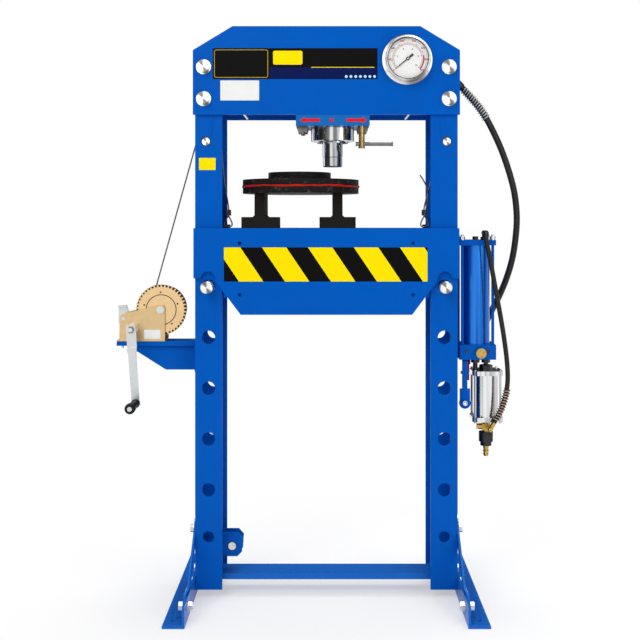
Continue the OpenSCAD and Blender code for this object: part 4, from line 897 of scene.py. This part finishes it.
class PRESS_OT_beam_decals(Operator):
    """The printed panels on the top beam and the small label on the left column"""
    bl_idname = "press.beam_decals"
    bl_label = "Beam panels"

    # Edges of the two black panels, which meet at a seam, and of the right one's navy foot
    LEFT, SEAM, RIGHT = -0.375, -0.188, 0.1686
    LOW, SPLIT, HIGH = 1.718, 1.757, 1.820
    RULE_LEFT, RULE_RIGHT = -0.050, 0.158
    # How far the border's outer and inner edges lie inside the left panel, and their corners
    BORDER_OUT, BORDER_IN = (4.5 * MM, 7 * MM), (6.7 * MM, 5 * MM)
    BADGE = (-0.176, -0.079, 1.7657, 1.8115, 6 * MM)
    DATA_PLATE = (-0.350, -0.222, 1.6476, 1.7135, 2.5 * MM)
    COLUMN_LABEL = (-0.422, -0.367, 1.4186, 1.4586, 1.5 * MM)
    # The row of dots: the first one's place, their spacing, radius and number
    DOT_X, DOT_Z, DOT_STEP, DOT_RADIUS, DOTS = 0.0655, 1.7265, 15.6 * MM, 4.6 * MM, 7

    def execute(self, context):
        thick = context.scene.press_decals.thickness
        decal("side_panel", [self.inside(0, 3 * MM)], BEAM_FACE, "Black printed vinyl")
        border = frame_strip(self.inside(*self.BORDER_OUT), self.inside(*self.BORDER_IN),
                             BEAM_FACE - 1.3 * thick, BEAM_FACE - thick)
        add_piece("panel_border", *border, "Gold screen ink", "frame", "yellow_zinc")
        name_panel = rectangle(self.SEAM, self.RIGHT, self.LOW, self.HIGH)
        decal("name_panel", [name_panel], BEAM_FACE, "Black printed vinyl")
        foot = rectangle(self.SEAM + MM, self.RIGHT - MM, self.LOW + MM, self.SPLIT)
        decal("name_panel_foot", [foot], BEAM_FACE, "Navy printed vinyl", 1)
        rule = rectangle(self.RULE_LEFT, self.RULE_RIGHT, self.SPLIT - MM, self.SPLIT + MM)
        decal("name_panel_rule", [rule], BEAM_FACE, "Yellow printed vinyl", 2)
        decal("name_panel_badge", [rounded(*self.BADGE)], BEAM_FACE, "Yellow printed vinyl", 1)
        dots = [disc(self.DOT_X + i * self.DOT_STEP, self.DOT_Z, self.DOT_RADIUS)
                for i in range(self.DOTS)]
        decal("name_panel_dots", dots, BEAM_FACE, "Pale screen ink", 2)
        decal("data_plate", [rounded(*self.DATA_PLATE)], BEAM_FACE, "White printed vinyl")
        decal("column_label", [rounded(*self.COLUMN_LABEL)], COLUMN_FACE, "Yellow printed vinyl")
        return {"FINISHED"}

    def inside(self, by, radius):
        """The left panel's outline, moved inward."""
        return rounded(self.LEFT + by, self.SEAM - by, self.LOW + by, self.HIGH - by, radius)


class PRESS_OT_bed_band(Operator):
    """The slanted black and yellow band on the bed"""
    bl_idname = "press.bed_band"
    bl_label = "Bed band"

    # Edges of the band, the top left corner of its first whole stripe, and the yellow's share
    LEFT, RIGHT, LOW, HIGH = -0.338, 0.3335, 1.050, 1.1625
    FIRST, YELLOW = -0.2127, 0.53

    def execute(self, context):
        decals = context.scene.press_decals
        ground = rectangle(self.LEFT, self.RIGHT, self.LOW, self.HIGH)
        decal("band_ground", [ground], BED_FACE, "Black printed vinyl", body="bed")
        period, lean = decals.stripe_period, decals.stripe_lean
        stripes = []
        # Two more stripes on the left and enough on the right, cut off at the band's ends
        for i in range(-2, 6):
            left = self.FIRST + i * period
            right = left + self.YELLOW * period
            stripes.append(self.clipped([(left, self.HIGH), (right, self.HIGH),
                                         (right + lean, self.LOW), (left + lean, self.LOW)]))
        stripes = [shape for shape in stripes if len(shape) > 2]
        decal("band_stripes", stripes, BED_FACE, "Yellow printed vinyl", 1, "bed")
        return {"FINISHED"}

    def clipped(self, shape):
        """The part of an outline between the band's two ends."""
        for limit, sign in ((self.LEFT, 1), (self.RIGHT, -1)):
            kept = []
            for a, b in zip(shape, shape[1:] + shape[:1]):
                a_in, b_in = sign * a[0] >= sign * limit, sign * b[0] >= sign * limit
                if a_in:
                    kept.append(a)
                if a_in != b_in:
                    t = (limit - a[0]) / (b[0] - a[0])
                    kept.append((limit, a[1] + t * (b[1] - a[1])))
            shape = kept
        return shape


class PRESS_OT_small_marks(Operator):
    """The arrows on the head block and the label on the winch"""
    bl_idname = "press.small_marks"
    bl_label = "Arrows and winch label"

    # Each arrow's tip and tail, the length of its head, and the half widths of its bar and head
    ARROWS = ((-0.087, -0.022), (0.134, 0.066))
    HEAD, BAR, BARB = 16 * MM, 5.2 * MM, 10 * MM
    DOT_X, DOT_RADIUS = 0.0185, 6.2 * MM
    WINCH_LABEL = (-0.6117, -0.5572, 0.8546, 0.8848, 2 * MM)

    def execute(self, context):
        z = middle("head_block").z
        marks = []
        for tip, tail in self.ARROWS:
            neck = tip + (self.HEAD if tail > tip else -self.HEAD)
            marks.append([(tip, z), (neck, z + self.BARB), (neck, z + self.BAR),
                          (tail, z + self.BAR), (tail, z - self.BAR), (neck, z - self.BAR),
                          (neck, z - self.BARB)])
        marks.append(disc(self.DOT_X, z, self.DOT_RADIUS))
        decal("head_arrows", marks, HEAD_FACE, "Red screen ink", body="head")
        decal("winch_label", [rounded(*self.WINCH_LABEL)], WINCH_FACE, "White printed vinyl")
        return {"FINISHED"}


# ---- Gauge ----

class PRESS_OT_gauge_dial(Operator):
    """The dial with its two scales and numbers, the seal and the needle's cap"""
    bl_idname = "press.gauge_dial"
    bl_label = "Gauge dial"

    # The dial lies inside the case. Its print stands a hair off it.
    FACE = CASE_FACE + 12.5 * MM
    RADIUS = 67.5 * MM
    # Marks, a long one at every so many, where they start, and the reach of long and short ones
    TICKS = (("outer_ticks", 40, 5, 50 * MM, 5 * MM, 3 * MM),
             ("inner_ticks", 50, 10, 46.5 * MM, -4 * MM, -2.2 * MM))
    # The needle's cap in millimetres: radius, and depth behind the needle's face
    CAP = ((0.1, -1.6), (3.2, -1.5), (4.0, -0.8), (4.0, 0))

    def execute(self, context):
        red = "Red dial enamel" if context.scene.press_gauge.red_scale else "Black dial enamel"
        plate = disc(GAUGE.x, GAUGE.z, self.RADIUS, 96)
        add_piece("dial_plate", *prism([plate], self.FACE, self.FACE + 0.4 * MM),
                  "White dial enamel", "frame", "bright_steel")
        for row in self.TICKS:
            self.ticks(*row)
        self.band("outer_line", 49.2 * MM, 50.3 * MM, 0.0, red)
        self.band("inner_line", 46.1 * MM, 46.9 * MM, 0.0, "Black dial enamel")
        self.band("red_arc", 50.3 * MM, 54.5 * MM, 0.8, red)
        self.numbers("outer_number", range(0, 800, 100), 60 * MM, 9 * MM, red)
        self.numbers("inner_number", range(0, 12, 2), 34.5 * MM, 7.5 * MM, "Black dial enamel")
        lathe_y("needle_cap", GAUGE, [(r * MM, NEEDLE_FACE + y * MM) for r, y in self.CAP],
                "Black dial enamel", "needle", "black_paint", steps=32)
        self.bead("bezel_bead", 69.6 * MM, 0.6 * MM, 1.5 * MM, "Turned gauge steel",
                  "bright_steel")
        # The rubber seal that the glass is pressed into
        self.bead("gauge_seal", 66.8 * MM, 1.2 * MM, 1.1 * MM, "Wrapped hose rubber",
                  "black_plastic")
        return {"FINISHED"}

    def angle(self, share):
        """Angle of a place on the scale, from 0 at its start to 1 at its end."""
        gauge = bpy.context.scene.press_gauge
        return gauge.start_angle - gauge.sweep * share

    def printed(self, name, shapes, height, material):
        """Flat print on the dial."""
        add_piece(name, *prism(shapes, self.FACE - height, self.FACE), material, "frame",
                  "red_paint")

    def bead(self, name, radius, depth, size, material, slot):
        """A round bead inside the case, at a depth behind the case's front."""
        turns = [math.radians(a) for a in range(0, 361, 30)]
        profile = [(radius + size * math.cos(a), CASE_FACE + depth + size * math.sin(a))
                   for a in turns]
        lathe_y(name, GAUGE, profile, material, "frame", slot, steps=96)

    def ticks(self, name, marks, every, radius, long, short):
        """Ticks round the dial, longer and wider at every few marks."""
        shapes = []
        for i in range(marks + 1):
            a = self.angle(i / marks)
            reach, half = (long, 0.7 * MM) if i % every == 0 else (short, 0.3 * MM)
            out = Vector((math.cos(a), math.sin(a)))
            across = Vector((-math.sin(a), math.cos(a))) * half
            near, far = out * radius, out * (radius + reach)
            shapes.append([(GAUGE.x + p.x, GAUGE.z + p.y)
                           for p in (near - across, far - across, far + across, near + across)])
        self.printed(name, shapes, 0.2 * MM, "Black dial enamel")

    def band(self, name, inner, outer, start, material, steps=60):
        """A printed arc, from a share of the scale to its end."""
        angles = [self.angle(start + (1.0 - start) * i / steps) for i in range(steps + 1)]
        near, far = ([(GAUGE.x + radius * math.cos(a), GAUGE.z + radius * math.sin(a))
                      for a in angles] for radius in (inner, outer))
        shapes = [[near[i], near[i + 1], far[i + 1], far[i]] for i in range(steps)]
        self.printed(name, shapes, 0.15 * MM, material)

    def numbers(self, name, values, radius, height, material):
        """Numbers round the dial, joined into one mesh."""
        verts, faces = [], []
        for i, value in enumerate(values):
            a = self.angle(i / (len(values) - 1))
            curve = bpy.data.curves.new(name, "FONT")
            curve.body = str(value)
            curve.size = height
            curve.align_x = curve.align_y = "CENTER"
            curve.extrude = 0.08 * MM
            # The strokes are set bolder than the plain font's
            curve.offset = 0.25 * MM
            curve.resolution_u = 3
            text = linked(name + "_draft", curve)
            bpy.context.view_layer.update()
            mesh = bpy.data.meshes.new_from_object(text)
            place = Matrix.Translation((GAUGE.x + radius * math.cos(a), self.FACE - 0.1 * MM,
                                        GAUGE.z + radius * math.sin(a)))
            upright = place @ Matrix.Rotation(math.radians(90), 4, "X")
            base = len(verts)
            verts += [upright @ v.co for v in mesh.vertices]
            faces += [[base + v for v in p.vertices] for p in mesh.polygons]
            bpy.data.objects.remove(text)
            bpy.data.curves.remove(curve)
            bpy.data.meshes.remove(mesh)
        add_piece(name, verts, faces, material, "frame", "red_paint")


# ---- Pump, discs and winch ----

class PRESS_OT_pump_details(Operator):
    """The plug screws on the pump block and the steel end of the lever's pivot"""
    bl_idname = "press.pump_details"
    bl_label = "Pump details"

    PLUGS = {"left_plug_screw": (0.469, 0.8155), "right_plug_screw": (0.5405, 0.8155)}
    PIVOT = (0.464, 0.640)

    def execute(self, context):
        for name, axis in self.PLUGS.items():
            self.screw(name, axis, PUMP_FACE, 8.0 * MM, 4.0 * MM, 1.2 * MM,
                       "Dark blue sprayed enamel", "frame", "blue_paint")
        self.screw("lever_pivot_end", self.PIVOT, front_of("pump_lever"), 8.4 * MM, 5.2 * MM,
                   1.6 * MM, "Bright zinc-plated steel", "pump_lever", "bright_steel")
        return {"FINISHED"}

    def screw(self, name, axis, face, radius, bore, rise, material, body, slot):
        """A round screw end that stands proud of a face, with a sunk bore."""
        top, floor = face - rise, face - 0.1 * MM
        lathe_y(name, axis, [(radius, face), (radius, top + 0.4 * MM), (radius - 0.5 * MM, top),
                             (bore, top), (bore - 0.3 * MM, floor), (0.05 * MM, floor)],
                material, body, slot, steps=32)


class PRESS_OT_disc_bead(Operator):
    """The uneven bead of red paint between the two large discs"""
    bl_idname = "press.disc_bead"
    bl_label = "Red bead"

    # How far the bead wanders up and down and bulges out, and its share of the band's height
    WANDER, BULGE, SHARE = 0.9 * MM, 2.2 * MM, 0.62

    def execute(self, context):
        low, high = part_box("disc_band")
        axis = middle("disc_band")
        radius, half = (high.x - low.x) / 2, (high.z - low.z) / 2
        verts, steps, sides = [], 240, 10
        for i in range(steps):
            a = 2 * math.pi * i / steps
            # Brushed on by hand: the bead wanders and swells a little, alike at both ends
            lift = self.WANDER * (math.sin(5 * a + 0.6) + 0.6 * math.sin(11 * a)
                               + 0.4 * math.sin(23 * a + 2))
            swell = 1 + 0.18 * math.sin(7 * a + 1) + 0.10 * math.sin(19 * a)
            for k in range(sides):
                b = 2 * math.pi * k / sides
                out = radius + self.BULGE * swell * math.cos(b)
                verts.append((axis.x + out * math.cos(a), axis.y + out * math.sin(a),
                              axis.z + lift + self.SHARE * half * swell * math.sin(b)))
        add_piece("disc_bead", verts, skin(steps, sides, closed=True), "Red sprayed enamel", "bed",
                  "red_paint", smooth=True)
        return {"FINISHED"}


class PRESS_OT_winch_details(Operator):
    """The winch gear's pressed ring, dark as painted shade, and the crank's ribbed grip"""
    bl_idname = "press.winch_details"
    bl_label = "Winch details"

    def execute(self, context):
        # The ring is the gear's own zinc; its black oxide is painted shade, for the dark line of
        # the pressed ring
        ring, rise = 52 * MM, GEAR_FACE - 0.7 * MM
        lathe_y("gear_ring", DRUM, [(ring, GEAR_FACE), (ring - 0.8 * MM, rise),
                                    (ring - 2.2 * MM, rise), (ring - 3.0 * MM, GEAR_FACE)],
                "Black-oxide steel", "drum", "yellow_zinc", steps=96)
        self.grip()
        return {"FINISHED"}

    def grip(self):
        """A moulded grip with end collars and fine ribs between them."""
        low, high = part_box("crank_grip")
        length, radius = (high.y - low.y) / MM, (high.x - low.x) / 2 / MM
        bore, neck, ribs = 5.05, radius - 5.5, 11
        # Radius and distance from the crank, in millimetres
        profile = [(bore, 0), (radius - 3, 0), (radius - 2.4, 1), (radius - 2.4, 7), (neck, 10)]
        for i in range(ribs):
            y, swell = 12 + i * (length - 34) / ribs, neck + 3.2 * i / ribs
            profile += [(swell, y), (swell + 1, y + 1.4), (swell + 1, y + 4.2), (swell, y + 5.6)]
        profile += [(radius - 1.5, length - 20), (radius, length - 17), (radius, length - 3),
                    (radius - 2.5, length - 0.2), (radius - 7, length), (bore, length), (bore, 0)]
        piece = lathe_y("crank_grip_ribbed", middle("crank_grip"),
                        [(r * MM, high.y - y * MM) for r, y in profile],
                        "Moulded grip polyethylene", "grip", "black_plastic")
        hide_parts("crank_grip")


# ---- Finishes of the frame's own nodes ----

class PRESS_OT_frame_finish(Operator):
    """Paint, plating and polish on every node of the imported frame"""
    bl_idname = "press.frame_finish"
    bl_label = "Frame finishes"

    COATS = {
        "Feet enamel with painted light": ("left_foot", "right_foot", "foot_braces", "crossbar"),
        "Blue sprayed enamel": ("left_column", "right_column", "beam_plates", "guide_bracket",
                                "winch_bracket", "hydraulic_cylinder", "bed_plates",
                                "bed_spacers", "tank_cap", "tank_rods", "pump_block",
                                "pump_mounts", "pump_lever"),
        "Blue lacquered drawn steel": ("tank",),
        "Head sprayed enamel": ("head_block",),
        "Black sprayed enamel": ("stands", "gauge_needle"),
        "Black painted cast iron": ("large_discs", "top_disc", "disc_band"),
        "Red sprayed enamel": ("valve_lever",),
        "Bright zinc-plated steel": ("frame_bolts", "pinion_shaft", "left_top_sheave",
                                     "right_top_sheave"),
        "Dull zinc-plated steel": ("winch_crank", "winch_pawl"),
        "Yellow zinc-plated steel": ("winch_frame",),
        "Pale yellow zinc-plated steel": ("winch_gear",),
        "Dull turned brass": ("clamp_screw",),
        # The drum is darkened as painted shade, for the shade in the gear's gaps and behind its rim
        "Drum zinc darkened as painted shade": ("winch_drum",),
        "Cold-drawn steel": ("clamp_bar", "head_clamps"),
        "Black-oxide steel": ("guide_roller", "hydraulic_fittings", "air_coupler", "rope_clips"),
        "Turned pin steel": ("left_bed_pin", "right_bed_pin"),
        "Turned bolt steel": ("beam_bolts",),
        "Turned axle steel": ("sheave_axles",),
        "Turned gauge steel": ("gauge_case",),
        "Ground hard chrome": ("ram", "gland_nut"),
        "Anodised drawn aluminium": ("air_motor",),
        "Bright turned brass": ("release_knob", "air_fittings"),
        "Dark bush polyethylene as painted shade": ("axle_bushes",),
        "Moulded grip polyethylene": ("crank_grip",),
        "Wrapped hose rubber": ("hydraulic_hose", "air_hose"),
        "Laid galvanised wire rope": ("winch_rope", "balance_rope", "left_drop_rope",
                                      "right_drop_rope"),
        "Polished gauge glass": ("gauge_glass",),
    }

    # Pieces whose cut or turned edges are broken with a file
    BROKEN_EDGES = ("left_column", "right_column", "left_foot", "right_foot", "crossbar",
                    "head_block", "winch_bracket", "stands", "tank_cap", "pump_block",
                    "large_discs", "top_disc", "left_bed_pin", "right_bed_pin")
    SAME_POINT, EDGE_WIDTH, SHARP = 0.01 * MM, 1.2 * MM, math.radians(50)

    # Stretches of a node with a finish of their own, between two corners of a box in metres:
    # the coupler's nipple, the guide roller's axle, the crank's bolt, the tie rods' nuts, the
    # fittings on the tank's cap, and what stands out beyond the winch's two side plates
    STRETCHES = (
        ("air_coupler", "Bright turned brass", (-1, -1, 0), (1, 1, 0.491)),
        ("sheave_axles", "Bright zinc-plated steel", (-1, -1, 0), (1, 1, 0.5)),
        ("winch_crank", "Cold-drawn steel", (-0.65, -1, 0.877), (-0.615, -0.1065, 0.908)),
        ("tank_rods", "Bright zinc-plated steel", (-1, -1, 1.184), (1, 1, 2)),
        ("air_fittings", "Black-oxide steel", (-1, -1, 1.0), (1, 1, 2)),
        ("winch_drum", "Bright zinc-plated steel", (-1, -1, 0), (0, -PAST_WINCH, 2)),
        ("winch_drum", "Bright zinc-plated steel", (-1, PAST_WINCH, 0), (0, 1, 2)),
        ("winch_frame", "Bright zinc-plated steel", (-1, -1, 0), (0, -PAST_WINCH, 2)),
        ("winch_frame", "Bright zinc-plated steel", (-1, PAST_WINCH, 0), (0, 1, 2)),
    )

    def execute(self, context):
        for name, nodes in self.COATS.items():
            for node in nodes:
                mesh = NODES[node].data
                mesh.materials.clear()
                mesh.materials.append(finish(name))
        for node in self.BROKEN_EDGES:
            weld = NODES[node].modifiers.new("weld", "WELD")
            weld.merge_threshold = self.SAME_POINT
            edges = NODES[node].modifiers.new("broken edges", "BEVEL")
            edges.width = self.EDGE_WIDTH
            edges.segments = 2
            edges.limit_method = "ANGLE"
            edges.angle_limit = self.SHARP
        for node, name, low, high in self.STRETCHES:
            mesh = NODES[node].data
            mesh.materials.append(finish(name))
            for polygon in mesh.polygons:
                if all(a < c < b for a, c, b in zip(low, polygon.center, high)):
                    polygon.material_index = len(mesh.materials) - 1
        bare = sorted(set(NODES) - {n for nodes in self.COATS.values() for n in nodes})
        if bare:
            raise RuntimeError("these nodes have no finish: " + ", ".join(bare))
        return {"FINISHED"}


# ---- Panel and run ----

class PRESS_PT_sidebar(Panel):
    """Settings and steps of the press"""
    bl_idname = "PRESS_PT_sidebar"
    bl_label = "Shop Press"
    bl_space_type = "VIEW_3D"
    bl_region_type = "UI"
    bl_category = "Shop Press"

    def draw(self, context):
        for name, group in SETTINGS.items():
            box = self.layout.box()
            for field in group.__annotations__:
                box.prop(getattr(context.scene, name), field)
        for step in STEPS:
            self.layout.operator(step.bl_idname)


SETTINGS = {"press_paints": PressPaints, "press_decals": PressDecals, "press_ropes": PressRopes,
            "press_hoses": PressHoses, "press_gauge": PressGauge, "press_stage": PressStage}
STEPS = (PRESS_OT_stage, PRESS_OT_hoses, PRESS_OT_frame_finish, PRESS_OT_ropes,
         PRESS_OT_beam_decals, PRESS_OT_bed_band, PRESS_OT_small_marks, PRESS_OT_gauge_dial,
         PRESS_OT_pump_details, PRESS_OT_disc_bead, PRESS_OT_winch_details)


def register():
    """Adds the settings, the steps and the sidebar panel."""
    for name, group in SETTINGS.items():
        bpy.utils.register_class(group)
        setattr(bpy.types.Scene, name, PointerProperty(type=group))
    for step in STEPS:
        bpy.utils.register_class(step)
    bpy.utils.register_class(PRESS_PT_sidebar)


def unregister():
    """Takes them away again, in reverse order."""
    bpy.utils.unregister_class(PRESS_PT_sidebar)
    for step in reversed(STEPS):
        bpy.utils.unregister_class(step)
    for name, group in reversed(list(SETTINGS.items())):
        delattr(bpy.types.Scene, name)
        bpy.utils.unregister_class(group)


def main():
    """Registers the add-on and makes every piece."""
    register()
    for step in STEPS:
        _, operator = step.bl_idname.split(".")
        getattr(bpy.ops.press, operator)()


if __name__ == "__main__":
    main()
